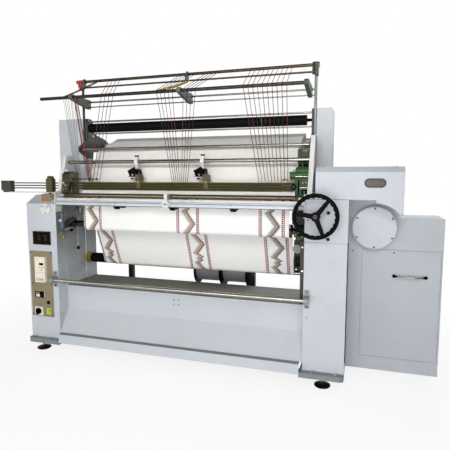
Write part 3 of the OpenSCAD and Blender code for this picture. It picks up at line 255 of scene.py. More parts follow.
def coated(name, tone, rough, vary=0.05, grime=0.12, peel=FINE_PEEL, wear=None, worn=0.6, metallic=0.0,
           spec=0.4):
    """Painted or moulded surface: blotches, fine orange peel, a little grime and edge wear."""
    t = Tree(name)
    base = t.painted(tone, vary, grime)
    if wear:
        broken = t.span(t.noise(60.0, 4.0, 0.7), 0.42, 0.6)
        bare = t.mul(t.mul(t.edge(PAINT_EDGE * 1.6), broken), worn)
        base = t.mix(bare, base, ink(wear))
    M[name] = t.surface(Base_Color=base, Metallic=metallic, Specular_IOR_Level=spec,
                        Roughness=t.patchy(rough), Normal=t.peel(peel, PAINT_EDGE))


def metal(name, tone, rough, grain=0.25, vary=0.08, tint=None):
    """Bare metal with a drawn grain along X."""
    t = Tree(name)
    lines = t.noise(3.0, 3.0, 0.6, stretch=(2, 220, 220))
    base = t.mix(t.span(t.noise(5.0, 5.0), 0.3, 0.72), ink(tone, 1 - vary), ink(tone))
    if tint:
        base = t.mix(t.span(t.noise(11.0, 6.0, 0.7), 0.56, 0.76, 0.0, 0.6), base, ink(tint))
    M[name] = t.surface(Base_Color=base, Metallic=1.0,
                        Roughness=t.span(lines, 0.25, 0.75, rough - 0.06, rough + 0.12),
                        Normal=t.bump(lines, grain, 0.0002, t.bevel(METAL_EDGE)))


def lined(name, lines, rough, metallic, spec):
    """Bar with drawn lines: (from, to, tone) in millimetres over the floor, the first one under all."""
    t = Tree(name)
    z = t.axes()[2]
    ground = lines[0][2]
    base = ink(ground)
    for z0, z1, tone in lines:
        under_top = t.sub(1.0, t.step(z, z1 / 1000, 0.0002))
        base = t.mix(t.mul(t.step(z, z0 / 1000, 0.0002), under_top), base, ink(tone))
    grime = t.span(t.noise(24.0, 5.0, 0.7, stretch=(0.35, 1, 1)), 0.5, 0.75, 0.0, 0.45)
    base = t.mix(grime, base, ink(ground, 0.5))
    M[name] = t.surface(Base_Color=base, Metallic=metallic, Specular_IOR_Level=spec,
                        Roughness=t.patchy(rough), Normal=t.peel(FINE_PEEL, BAR_EDGE))


def painted_height_shade(name, low, high, z0, z1):
    """Paint that darkens with height: painted shade on a wall, with specks of grime."""
    t = Tree(name)
    base = t.mix(t.span(t.axes()[2], z0, z1), ink(low), ink(high))
    base = t.mix(t.span(t.noise(17.0, 6.0, 0.7), 0.5, 0.78, 0.0, 0.35), base, ink(high, 0.7))
    M[name] = t.surface(Base_Color=base, Roughness=0.5, Normal=t.peel(FINE_PEEL, PAINT_EDGE))


def seamed(name, tone, at, half):
    """Paint with a panel's fine joint line on a side wall: the panel's middle and half size in Y and Z."""
    t = Tree(name)
    place = t.axes()[1:]
    out = [t.sub(t.math("ABSOLUTE", t.sub(p, a)), h) for p, a, h in zip(place, at, half)]
    rim = t.math("ABSOLUTE", t.math("MAXIMUM", *out))
    cut = t.sub(1.0, t.step(rim, 0.0012, 0.0004))
    groove = t.bump(t.mul(cut, -1.0), 0.6, 0.002, t.bevel(PAINT_EDGE))
    M[name] = t.surface(Base_Color=t.mix(cut, t.painted(tone, 0.05, 0.12), ink(tone, 0.4)), Roughness=0.46,
                        Specular_IOR_Level=0.4, Normal=groove)


def glass(name, low, high):
    t = Tree(name)
    base = t.mix(t.span(t.noise(9.0, 3.0), 0.35, 0.7), ink(low), ink(high))
    M[name] = t.surface(Base_Color=base, Roughness=0.16, Specular_IOR_Level=0.08,
                        Normal=t.bump(t.noise(30.0, 2.0), 0.03, 0.0005, t.bevel(GLASS_EDGE)))


def spun(name, tone):
    """Spun yarn: fine twist and a soft sheen."""
    t = Tree(name)
    twist = t.noise(900.0, 2.0, 0.6)
    base = t.mix(t.span(twist, 0.3, 0.7), ink(tone, 0.82), ink(tone, 1.06))
    base = t.mix(t.span(t.noise(6.0, 4.0), 0.4, 0.75, 0.0, 0.25), base, ink(tone, 0.8))
    M[name] = t.surface(Base_Color=base, Roughness=0.85, Sheen_Weight=0.25, Normal=t.bump(twist, 0.4, 0.0004))


def wound(name, low, high):
    """Yarn wound on a beam, with its layers along X."""
    t = Tree(name)
    lay = t.noise(1.0, 3.0, 0.6, stretch=(420, 3, 3))
    M[name] = t.surface(Base_Color=t.mix(t.span(lay, 0.3, 0.7), ink(low), ink(high)), Roughness=0.85,
                        Sheen_Weight=0.2, Normal=t.bump(lay, 0.4, 0.0008))


def stretched(name):
    """Warp yarns side by side, each with a tone of its own."""
    t = Tree(name)
    tone = t.noise(1.2, 3.0, 0.6, stretch=(240, 0.4, 0.4))
    base = t.mix(t.span(tone, 0.3, 0.7), ink((245, 243, 235)), ink((252, 251, 246)))
    base = t.mix(t.span(t.noise(4.0, 3.0), 0.4, 0.7, 0, 0.2), base, ink((234, 231, 218)))
    M[name] = t.surface(Base_Color=base, Roughness=0.8, Sheen_Weight=0.2,
                        Normal=t.bump(t.noise(700.0, 2.0), 0.25, 0.0003))


COATED = {
    "paint": ((206, 211, 217), 0.44, dict(wear=(168, 170, 170), worn=0.35)),
    # darker copy of paint, painted shade for the cabinet and the back panels
    "side_paint": (SIDE_SHADED_TONE, 0.44, dict(wear=(160, 162, 162), worn=0.35)),
    "plate_grey": ((138, 144, 146), 0.5, dict(grime=0.3, wear=(176, 178, 178))),
    "deck_grey": ((114, 114, 105), 0.55, dict(grime=0.35, wear=(150, 150, 150))),
    "olive": ((84, 76, 44), 0.4, dict(vary=0.14, wear=(166, 158, 120))),
    "weft_olive": ((66, 60, 30), 0.42, dict(vary=0.14, wear=(110, 102, 66), spec=0.12)),
    # dark strip behind each weft bar, painted shade for the gaps between the bars
    "weft_lip": ((26, 24, 14), 0.5, dict(vary=0.14, spec=0.1)),
    "lifter_olive": ((78, 77, 62), 0.45, dict(vary=0.3, grime=0.6, peel=110.0, wear=(170, 168, 150))),
    "khaki": ((88, 78, 42), 0.42, dict(vary=0.16, grime=0.4, wear=(176, 168, 130))),
    "white_metal": ((226, 226, 221), 0.4, dict(grime=0.18, wear=(150, 148, 140))),
    "green_casting": ((46, 84, 38), 0.48, dict(vary=0.25, grime=0.5, peel=90.0, wear=(150, 150, 140))),
    "cast_grey": ((96, 96, 88), 0.5, dict(vary=0.18, grime=0.4, peel=110.0, wear=(170, 170, 160))),
    "cast_dark": ((62, 61, 56), 0.5, dict(vary=0.2, grime=0.4, peel=110.0, wear=(140, 138, 128))),
    "bracket_grey": ((156, 160, 160), 0.4, dict(grime=0.25, wear=(210, 210, 206), metallic=0.3)),
    "black_metal": ((22, 22, 22), 0.42, dict(vary=0.2, wear=(110, 108, 102), spec=0.25)),
    "black_rubber": ((11, 11, 11), 0.5, dict(vary=0.2, grime=0.1, peel=420.0, spec=0.08)),
    "black_plastic": ((11, 11, 12), 0.2, dict(vary=0.2, grime=0.05, spec=0.05)),
    "blue_metal": ((92, 106, 124), 0.45, dict(grime=0.3)),
    "brass": ((150, 132, 40), 0.5, dict(vary=0.2, grime=0.4, wear=(180, 172, 120))),
    "side_block": ((64, 70, 62), 0.45, dict(vary=0.2, grime=0.4, wear=(190, 190, 180))),
    "panel_bronze": ((152, 137, 110), 0.45, dict(vary=0.16, grime=0.4, peel=700.0)),
    "grey_plastic": ((246, 239, 220), 0.45, dict(grime=0.08)),
    "green_plastic": ((196, 214, 72), 0.35, dict(grime=0.05)),
    "beige_plastic": ((178, 160, 124), 0.5, dict(grime=0.3)),
    "spool_grey": ((146, 148, 150), 0.6, dict(peel=600.0)),
    "disc_tan": ((150, 142, 130), 0.5, dict(vary=0.2, grime=0.4)),
    "lid_brown": ((150, 124, 92), 0.45, dict(vary=0.12, grime=0.4, wear=(210, 196, 170))),
    "plate_rim": ((62, 58, 54), 0.35, dict(metallic=0.4)),
    "plate_face": ((104, 98, 92), 0.45, dict(vary=0.25, grime=0.5, metallic=0.2)),
    "key_grey": ((150, 150, 144), 0.5, {}),
    "key_red": ((170, 120, 70), 0.5, {}),
    "window_trim": ((34, 28, 22), 0.35, {}),
    "window_digits": ((62, 52, 30), 0.3, {}),
    "cap_green": ((62, 84, 66), 0.45, {}),
}
METALS = {
    "bed_steel": ((104, 98, 84), 0.42, dict(tint=(62, 50, 32))),
    "chrome": ((196, 192, 182), 0.2, dict(grain=0.12, vary=0.1)),
    "dark_steel": ((74, 71, 65), 0.36, dict(tint=(34, 30, 25))),
    "bar_steel": ((102, 88, 72), 0.3, dict(vary=0.14, tint=(58, 42, 30))),
    "rod_steel": ((158, 153, 146), 0.16, dict(grain=0.08, vary=0.1)),
    "copper": ((150, 96, 72), 0.3, {}),
}
YARNS = {
    "red": (112, 10, 18), "maroon": (48, 14, 16), "soot": (22, 16, 16), "straw": (120, 96, 40),
    "plum": (96, 12, 66), "ash": (40, 38, 34), "black": (12, 12, 14), "navy": (20, 24, 66),
    "scarlet": (214, 16, 22), "cherry": (226, 40, 46), "rose": (236, 150, 150), "yellow": (232, 204, 24),
    "lemon": (250, 236, 120), "umber": (36, 24, 20), "ochre": (104, 82, 40), "wine": (96, 12, 16),
    "moss": (120, 108, 60), "slate": (54, 52, 40),
}
for name, (tone, rough, more) in COATED.items():
    coated(name, tone, rough, **more)
for name, (tone, rough, more) in METALS.items():
    metal(name, tone, rough, **more)
for name, tone in YARNS.items():
    spun(name, tone)
# guide bar: dark drawn lines, the gold and tan lines are painted highlights
lined("guide_lines", (
    (1098, 1127, (38, 28, 16)), (1103, 1108, (132, 106, 48)), (1108, 1114, (22, 16, 10)),
    (1114, 1118, (116, 90, 54)), (1118, 1124, (28, 20, 13))), 0.4, 0.0, 0.2)
# front rail: the near-white bands are painted highlights, the grey and dark bands painted shade, over its
# pale paint
lined("rail_lines", (
    (1045, 1095, (200, 205, 210)), (1045, 1050, (84, 90, 94)), (1050, 1056, (216, 220, 224)),
    (1066, 1072, (128, 134, 140)), (1082, 1096, (250, 251, 252))), 0.36, 0.2, 0.5)
seamed("cabinet_side", SIDE_SHADED_TONE, ((330 + SHIFT_Y) / 1000, 0.536), (0.108, 0.412))
# inner walls: painted shade, the paint darker towards the top
painted_height_shade("inner_paint", (200, 205, 210), (122, 126, 126), 0.48, 0.86)
glass("dark_glass", (14, 11, 7), (30, 25, 16))
wound("wound_yarn", (216, 212, 198), (242, 240, 230))
stretched("warp_yarn")


# Mesh helpers
def link(name, data):
    ob = bpy.data.objects.new(name, data)
    SCENE.collection.objects.link(ob)
    return ob


def new_object(name, verts, faces, mats, face_mats=None, uvs=None):
    me = bpy.data.meshes.new(name)
    me.from_pydata([tuple(v) for v in verts], [], faces)
    for m in mats:
        me.materials.append(m)
    if face_mats is not None:
        me.polygons.foreach_set("material_index", face_mats)
    me.polygons.foreach_set("use_smooth", [True] * len(me.polygons))
    if uvs is not None:
        layer = me.uv_layers.new(name="UVMap")
        loops = np.empty(len(me.loops), dtype=np.int32)
        me.loops.foreach_get("vertex_index", loops)
        layer.data.foreach_set("uv", np.asarray(uvs, dtype=np.float32)[loops].ravel())
    me.update()
    return link(name, me)


def quads(rows, row, wrap=False):
    """Faces of a grid of rows with that many points each, closed round each row where wrap is set."""
    faces = []
    for i in range(rows - 1):
        for k in range(row if wrap else row - 1):
            a, b = i * row + k, i * row + (k + 1) % row
            faces.append((a, b, b + row, a + row))
    return faces


def thicken(ob, thickness, offset):
    sol = ob.modifiers.new("thickness", "SOLIDIFY")
    sol.thickness = thickness
    sol.offset = offset


class Batch:
    """Collects many small shapes, each of a named material, into one mesh."""

    SHARP = math.radians(40)

    def __init__(self):
        self.v, self.f, self.m = [], [], []

    def add(self, verts, faces, mat):
        o = len(self.v)
        self.v.extend(verts)
        self.f.extend([tuple(i + o for i in f) for f in faces])
        self.m.extend([mat] * len(faces))

    def lathe(self, origin, axis, profile, n, mat):
        """Closed turned shape: profile of (radius, height) along axis from origin."""
        q = Vector(axis).normalized().to_track_quat("Z", "Y")
        verts, faces, rings = [], [], []
        for r, h in profile:
            if r <= 1e-9:
                rings.append([len(verts)])
                verts.append(origin + q @ Vector((0, 0, h)))
            else:
                rings.append(list(range(len(verts), len(verts) + n)))
                verts += [origin + q @ Vector((*polar((0, 0), r, 360 * k / n), h)) for k in range(n)]
        for a, b in zip(rings, rings[1:]):
            for k in range(n):
                j = (k + 1) % n
                if len(a) == 1:
                    faces.append((b[j], b[k], a[0]))
                elif len(b) == 1:
                    faces.append((a[k], a[j], b[0]))
                else:
                    faces.append((a[k], a[j], b[j], b[k]))
        self.add(verts, faces, mat)

    def box(self, lo, hi, mat, ch):
        """Box between two corners with all edges chamfered by ch."""
        lo, hi = Vector(lo), Vector(hi)
        bm = bmesh.new()
        bmesh.ops.create_cube(bm, size=1.0)
        bmesh.ops.scale(bm, vec=hi - lo, verts=bm.verts)
        bmesh.ops.translate(bm, vec=(lo + hi) / 2, verts=bm.verts)
        bmesh.ops.bevel(bm, geom=list(bm.edges), offset=ch, segments=2, affect="EDGES", profile=0.5)
        bm.verts.index_update()
        self.add([v.co.copy() for v in bm.verts], [[v.index for v in f.verts] for f in bm.faces], mat)
        bm.free()

    def tube(self, path, r, n, mat):
        verts = []
        for i, p in enumerate(path):
            d = (path[min(i + 1, len(path) - 1)] - path[max(i - 1, 0)]).normalized()
            s = d.cross(Vector(RIGHT))
            if s.length < 1e-4:
                s = d.cross(Vector(BACK))
            s.normalize()
            u = s.cross(d).normalized()
            for k in range(n):
                c, w = polar((0, 0), r, 360 * k / n)
                verts.append(p + c * s + w * u)
        last = (len(path) - 1) * n
        ends = [tuple(range(n))[::-1], tuple(range(last, last + n))]
        self.add(verts, quads(len(path), n, True) + ends, mat)

    def make(self, name, body="frame"):
        names = sorted(set(self.m))
        ob = new_object(name, self.v, self.f, [M[n] for n in names], [names.index(m) for m in self.m])
        bm = bmesh.new()
        bm.from_mesh(ob.data)
        bmesh.ops.recalc_face_normals(bm, faces=bm.faces)
        for e in bm.edges:
            e.smooth = len(e.link_faces) != 2 or e.calc_face_angle(0) < self.SHARP
        bm.to_mesh(ob.data)
        bm.free()
        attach(ob, body)
        return ob


# Camera, solved from the machine's box edges in the photo
PHOTO_PX, FOCAL_PX, SENSOR = 450, 437, 36
cam_data = bpy.data.cameras.new("camera")
cam = link("camera", cam_data)
cam.location = P(1147.5, -2500, 1232)
cam.rotation_euler = (math.radians(90 - 6.2), 0, math.radians(17.3))
cam_data.sensor_width = SENSOR
cam_data.lens = SENSOR * FOCAL_PX / PHOTO_PX
cam_data.clip_end = 50
SCENE.camera = cam


# Finishes of the CAD nodes
def dress(node, names, pick=None):
    """Give a node materials; pick tells which one a face has from its place in millimetres and its normal."""
    me = NODES[node].data
    me.materials.clear()
    for name in names:
        me.materials.append(M[name])
    for poly in me.polygons if pick else ():
        c = poly.center
        poly.material_index = pick(c.x * 1000 - SHIFT_X, c.y * 1000 - SHIFT_Y, c.z * 1000, poly.normal)


SPOOL_AXIS, WHEEL_AXIS = (620, 537), (911, 1017)
HANGER_X = (-307, 167)


def spool_finish(x, y, z, n):
    """Barrels grey and shaft bright, the flanges black."""
    r = math.dist((y, z), SPOOL_AXIS)
    if abs(n.x) >= 0.5:
        return 0
    return 1 if 80 < r < 92 else (2 if r < 13 else 0)


def wall_finish(x, y, z, n):
    """Damper and rod at the left; cases, disc, rod and guard bar at the right."""
    if x < 0:
        return 2 if z < 850 and y < 100 else (6 if y > 200 else 0)
    if y > 60 and z < 652:
        return 4
    if y < 149 and 770 < x < 815 and 765 < z < 835:
        return 3
    return 5 if y < 60 else 1


def hanger_finish(x, y, z, n):
    """Khaki foot beside each black guide unit."""
    beside = (x - HANGER_X[0]) % (HANGER_X[1] - HANGER_X[0])
    return 1 if y < 148 and z < 1256 and 22 < beside < 64 else 0


for sub in frame["record"]["subparts"]:
    if sub["material_slot"] in M:
        dress(sub["node"], [sub["material_slot"]])
for node, finish in (
        ("warp_beam", "wound_yarn"), ("stop_brackets", "bracket_grey"), ("tension_rod", "rod_steel"),
        ("guide_rods", "rod_steel"), ("roller_brackets", "cast_dark"), ("cabinet_cover", "side_paint"),
        ("guide_bar", "guide_lines"), ("front_rail", "rail_lines"), ("left_lifter", "lifter_olive"),
        ("weft_bar_1", "weft_olive"), ("weft_bar_2", "weft_olive"), ("weft_bar_3", "weft_olive")):
    dress(node, [finish])
dress("spools", ("black_plastic", "spool_grey", "chrome"), spool_finish)
dress("handwheel", ("black_plastic", "cast_dark"),
      lambda x, y, z, n: 1 if y < -84 and math.dist((x, z), WHEEL_AXIS) < 15 else 0)
dress("roller_bearings", ("green_casting", "brass", "cast_dark"),
      lambda x, y, z, n: 1 if z < 700 else (2 if x < 0 else 0))
dress("levelling_feet", ("black_rubber", "chrome", "bar_steel"),
      lambda x, y, z, n: 1 if z > 33 else (2 if n.z > 0.2 else 0))
dress("cover_handle", ("black_plastic", "chrome"), lambda x, y, z, n: 1 if 1362 < x < 1500 else 0)
dress("side_rail", ("side_block", "white_metal", "olive"),
      lambda x, y, z, n: 2 if x > -990 and z > 1136 else (1 if x > -1292 and z < 1140 else 0))
dress("wall_fittings",
      ("blue_metal", "black_metal", "brass", "disc_tan", "chrome", "cast_dark", "bracket_grey"), wall_finish)
dress("yarn_brackets", ("cast_grey", "cap_green"), lambda x, y, z, n: 1 if x > 400 else 0)
dress("end_plates", ("white_metal", "paint"), lambda x, y, z, n: 1 if n.x > 0.9 else 0)
dress("cabinet", ("side_paint", "cabinet_side"), lambda x, y, z, n: 1 if n.x > 0.9 and x > 1600 else 0)
# the left column's inner wall gets the paint with painted shade towards the top
dress("left_column", ("paint", "inner_paint"), lambda x, y, z, n: 1 if x > -856 and abs(n.y) < 0.99 else 0)
dress("yarn_frame", ("bar_steel", "bracket_grey", "dark_steel"),
      lambda x, y, z, n: (1 if x > 0 else 2) if abs(x) > 844 and z < 1925 else 0)
dress("base_beam", ("paint", "plate_grey"), lambda x, y, z, n: 1 if n.z > 0.7 and z > 145 else 0)
dress("hanger_bodies", ("black_plastic", "khaki"), hanger_finish)

# Cloth: from the needles round the take-down and press rollers to the cloth roller, places as (y, z)
CLOTH_W, CLOTH_X, CLOTH_COLS, CLOTH_STEP = 1423.0, 31.0, 260, 9.0
CLOTH_TOP = (84.6, 1098.0)
TAKE, TAKE_R = (115.5, 900.0), 30.9
PRESS, PRESS_R = polar(TAKE, 59.8, 15), 28.9
ROLL, ROLL_R = (362.0, 625.0), 36.9
CROSS_RADII = 28.3 + 36.3 + 1.2
UPPER_END, LOWER_START, LOWER_LENGTH = 198, 392, 336
REPEAT, UPPER_PHASE, LOWER_PHASE = 0.232, 0.080, 0.466
ZIGZAG = ((0.0, 0.02), (0.345, 0.98), (0.668, 0.02), (0.776, 0.62), (0.845, 0.3), (0.897, 0.5), (1.0, 0.02))
SWING = 0.060
# Middle and width in millimetres, then the tones called core, pale, grey, red and dark
BANDS = (
    (-612.0, 118.0, (112, 48, 44), (178, 156, 120), (104, 98, 80), (204, 80, 92), (34, 16, 20)),
    (92.0, 128.0, (132, 90, 82), (190, 164, 144), (128, 114, 106), (196, 66, 104), (38, 18, 42)),
    (637.0, 132.0, (86, 74, 72), (168, 154, 136), (98, 90, 88), (206, 38, 80), (48, 26, 46)),
)


def cloth_route():
    cross = bearing(PRESS, ROLL) + lead(CROSS_RADII, PRESS, ROLL)
    return dense([CLOTH_TOP] + arc(TAKE, TAKE_R, 180, 375, 26) + arc(PRESS, PRESS_R, 195, cross, 22)[1:]
                 + arc(ROLL, ROLL_R, cross + 180, cross + 480, 40), CLOTH_STEP)


def cloth_mat():
    """White knit with three zigzag bands between dotted stripes, drawn from its own coordinates in metres."""
    t = Tree("cloth")
    u, v = t.axes(t.add("ShaderNodeUVMap", uv_map="UVMap").outputs[0])[:2]
    # knit: fine wales along the cloth, courses across it
    wale, course = t.math("PINGPONG", u, 0.0016), t.math("PINGPONG", v, 0.0013)
    knit = t.math("ADD", t.mul(wale, 400.0), t.mul(course, 320.0))
    base = t.mix(t.span(t.noise(7.0, 4.0), 0.3, 0.7), ink((249, 249, 246)), ink((254, 254, 252)))
    base = t.mix(t.span(knit, 0.15, 1.0), ink((250, 250, 247), 0.96), base)
    # a big and a small zigzag take turns along the cloth; the repeat starts anew past the rollers
    start = t.mix_float(t.step(v, 0.300, 0.0002), UPPER_PHASE, LOWER_PHASE)
    turn = t.math("FRACT", t.math("DIVIDE", t.math("ADD", t.sub(v, start), REPEAT), REPEAT))
    swing = t.mul(t.sub(t.zigzag(turn, ZIGZAG), 0.45), SWING)
    for middle, width, core, pale, grey, red, dark in BANDS:
        half = width / 2000
        du = t.sub(u, (middle + SHIFT_X) / 1000)
        off = t.sub(du, swing)
        inside = t.math("LESS_THAN", t.math("ABSOLUTE", du), half * 0.84)
        # lines of the zigzag: place, half width, tone, strength, pitch of its dots
        for centre, reach, tone, strength, dots in (
                (0.0262, 0.0020, red, 0.8, 0.0060), (0.0205, 0.0030, dark, 0.9, 0.0052),
                (0.0130, 0.0050, core, 1.0, 0), (0.0035, 0.0042, pale, 1.0, 0),
                (-0.0055, 0.0040, grey, 0.9, 0), (-0.0145, 0.0036, pale, 0.9, 0),
                (-0.0222, 0.0022, grey, 0.5, 0.0052)):
            m = t.mul(t.near(off, centre, reach, 0.0006), inside)
            if dots:
                m = t.mul(m, t.step(t.math("PINGPONG", v, dots), dots * 0.45, 0.0004))
            base = t.mix(t.mul(m, strength), base, ink(tone))
        # a dashed dark and a plain red line along each side
        for side in SIDES:
            d = t.sub(t.mul(du, float(side)), half)
            dash = t.step(t.math("PINGPONG", t.math("ADD", v, 0.003 * side), 0.0062), 0.0021, 0.0004)
            base = t.mix(t.mul(t.near(d, 0.0, 0.0060, 0.0004), dash), base, ink(dark))
            base = t.mix(t.mul(t.near(d, 0.0112, 0.0032, 0.0008), 0.9), base, ink(red))
    return t.surface(Base_Color=base, Roughness=0.9, Sheen_Weight=0.15, Normal=t.bump(knit, 0.35, 0.0006))


def make_cloth():
    route = cloth_route()
    run = distances(route)
    verts, uvs = [], []
    for s, ((y, z), nrm) in zip(run, with_normals(route)):
        # soft puckers on the free panels, none on the rollers
        free = 0.0
        if s < UPPER_END:
            free = math.sin(math.pi * s / UPPER_END)
        elif LOWER_START < s < LOWER_START + LOWER_LENGTH:
            free = math.sin(math.pi * (s - LOWER_START) / LOWER_LENGTH)
        for k in range(CLOTH_COLS + 1):
            x = CLOTH_X - CLOTH_W / 2 + CLOTH_W * k / CLOTH_COLS
            wave = 0.9 * math.sin(x / 61.0 + 1.3 * math.sin(s / 90)) + 0.6 * math.sin(x / 23.0 + s / 40)
            edge = min(k, CLOTH_COLS - k) / CLOTH_COLS
            off = free * (wave * 0.8 + 1.4 * math.exp(-edge * 90))
            pull = (0.8 * math.sin(s / 31.0) + 0.5 * math.sin(s / 12.0)) * math.exp(-edge * 60)
            verts.append(P(x + pull, y + nrm[0] * off, z + nrm[1] * off))
            uvs.append(((x + SHIFT_X) / 1000, s / 1000))
    ob = new_object("cloth", verts, quads(len(route), CLOTH_COLS + 1), [cloth_mat()], None, uvs)
    thicken(ob, 0.0010, 0)
    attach(ob, "frame")
    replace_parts(ob, "fabric")


make_cloth()

# Warp sheet: from the beam over the rear guide rod to the needles, places as (y, z)
WARP_AXIS, WARP_R = (620.0, 1485.0), 52.3
ROD, ROD_R = (337.0, 1425.0), 8.3
NEEDLES = (84.0, 1104.0)
WARP_W, WARP_X, WARP_ENDS, POINTS_PER_END = 1468.0, 30.0, 366, 4


def make_warp():
    a1 = bearing(WARP_AXIS, ROD) % 360 - lead(WARP_R - ROD_R, WARP_AXIS, ROD)
    a2 = bearing(ROD, NEEDLES) % 360 - lead(ROD_R + 1, ROD, NEEDLES)
    route = dense([polar(WARP_AXIS, WARP_R + 1, a1)] + arc(ROD, ROD_R + 1, a1, a2, 6) + [NEEDLES], 60.0)
    row = WARP_ENDS * POINTS_PER_END + 1
    verts = []
    for (y, z), nrm in with_normals(route):
        for k in range(row):
            x = WARP_X - WARP_W / 2 + WARP_W / WARP_ENDS * k / POINTS_PER_END
            uneven = 0.1 * math.sin(k // POINTS_PER_END * 12.9898)
            ridge = abs(math.sin(math.pi * k / POINTS_PER_END)) * 0.4 - 0.2 + uneven
            verts.append(P(x, y - nrm[0] * ridge, z - nrm[1] * ridge))
    ob = new_object("warp_yarns", verts, quads(len(route), row), [M["warp_yarn"]])
    thicken(ob, 0.0006, -1)
    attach(ob, "frame")
    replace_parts(ob, "warp_sheet")


make_warp()

# Weft yarns: from the top bar over the yarn bar to the weft bars, places as (y, z)
YARN_D, YARN_GAP, YARN_FUZZ = 2.6, 0.3, 0.5
TOP_BAR, TOP_BAR_D = (374.0, 1936.0), 20.0
YARN_BAR, YARN_BAR_D = (171.0, 1789.0), 22.0
WEFT_TOP = (107.0, 1202.0)
# Share of the width, place and step at the bar, gap for its arm, shift at the top, place and step at the end
YARN_GROUPS = (
    (-0.4373, 52, 30, 0, -60, -28, 26, ("red", "maroon", "black", "soot")),
    (0.0395, -238, 28, 50, 92, -108, 13,
     ("soot", "ash", "black", "plum", "plum", "red", "black", "soot", "maroon")),
    (0.4128, -202, 30, 0, 4, -84, 19.5,
     ("maroon", "red", "black", "straw", "navy", "red", "soot", "black", "black", "red")),
)


def make_yarns():
    reach = YARN_D / 2 + YARN_GAP
    start = (TOP_BAR[0] - TOP_BAR_D / 2 - reach, TOP_BAR[1])
    r = YARN_BAR_D / 2 + reach
    bend = arc(YARN_BAR, r, bearing(YARN_BAR, start) + lead(r, YARN_BAR, start),
               360 + bearing(YARN_BAR, WEFT_TOP) - lead(r, YARN_BAR, WEFT_TOP), 6)
    (y0, z0), (y1, z1) = bend[-1], WEFT_TOP
    b = Batch()
    for share, bar_at, bar_step, arm_gap, top_shift, end_at, end_step, yarns in YARN_GROUPS:
        middle = WARP_X + WARP_W * share
        for i, yarn in enumerate(yarns):
            x_bar = middle + bar_at + bar_step * i
            if i > len(yarns) / 2:
                x_bar += arm_gap
            x_end = middle + end_at + end_step * i
            path = [P(x_bar + top_shift, *start)] + [P(x_bar, *q) for q in bend]
            for f in (k / 8 for k in range(1, 9)):
                path.append(P(x_bar + (x_end - x_bar) * f, y0 + (y1 - y0) * f, z0 + (z1 - z0) * f))
            b.tube(path, (YARN_D / 2 + YARN_FUZZ) / 1000, 8, yarn)
    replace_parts(b.make("weft_yarn_set"), "weft_yarns")


make_yarns()

# Fasteners and small shapes, in millimetres; a head's foot lies this many metres in its face
SUNK = -0.0002
COVER, COVER_SCREWS_R = (1226.0, 943.0), 112
CAP, CAP_SCREWS_R = (-922.0, 1016.0), 30
COLUMN_BACK, LEFT_SIDE = 467.6, -1085.6


def cap_screw(b, at, axis, d, h, mat):
    """Round head with a sunk socket."""
    r, h = d / 2000, h / 1000
    b.lathe(P(*at), axis, [(0, SUNK), (r, SUNK), (r, h * 0.7), (r * 0.86, h), (r * 0.46, h),
                           (r * 0.42, h * 0.45), (0, h * 0.45)], 18, mat)


def hex_bolt(b, at, axis, d, h, mat):
    """Hexagon head on a washer."""
    r, h = d / 2000, h / 1000
    b.lathe(P(*at), axis, [(0, SUNK), (r * 1.35, SUNK), (r * 1.35, h * 0.22), (r * 1.05, h * 0.24),
                           (0, h * 0.24)], 22, mat)
    b.lathe(P(*at), axis, [(0, h * 0.2), (r, h * 0.2), (r, h * 0.85), (r * 0.84, h), (0, h)], 6, mat)


def dome(b, at, axis, d, h, mat):
    r, h = d / 2000, h / 1000
    b.lathe(P(*at), axis, [(0, SUNK), (r, SUNK), (r, h * 0.35), (r * 0.9, h * 0.7), (r * 0.6, h * 0.95),
                           (0, h)], 24, mat)


def each(shape, b, axis, d, h, mat, points):
    for at in points:
        shape(b, at, axis, d, h, mat)


def bx(b, lo, hi, mat, ch):
    b.box(P(*lo), P(*hi), mat, ch / 1000)


def rod(b, a, c, d, mat, n=16):
    a, c = P(*a), P(*c)
    r, length = d / 2000, (c - a).length
    e = min(r * 0.25, 0.0015)
    b.lathe(a, c - a, [(0, 0), (r - e, 0), (r, e), (r, length - e), (r - e, length), (0, length)], n, mat)


def tilted(b, centre, size, turn, mat):
    """Block turned about the front-to-back axis by an angle in degrees."""
    q = Matrix.Rotation(math.radians(turn), 3, "Y")
    half = Vector(size) / 2000
    part = Batch()
    part.box(-half, half, mat, 0.002)
    b.add([P(*centre) + q @ v for v in part.v], part.f, mat)


def grid(xs, ys, zs):
    return [(x, y, z) for x in xs for y in ys for z in zs]


def front_ring(c, r, angles, y):
    return [(x, y, z) for x, z in (polar(c, r, a) for a in angles)]


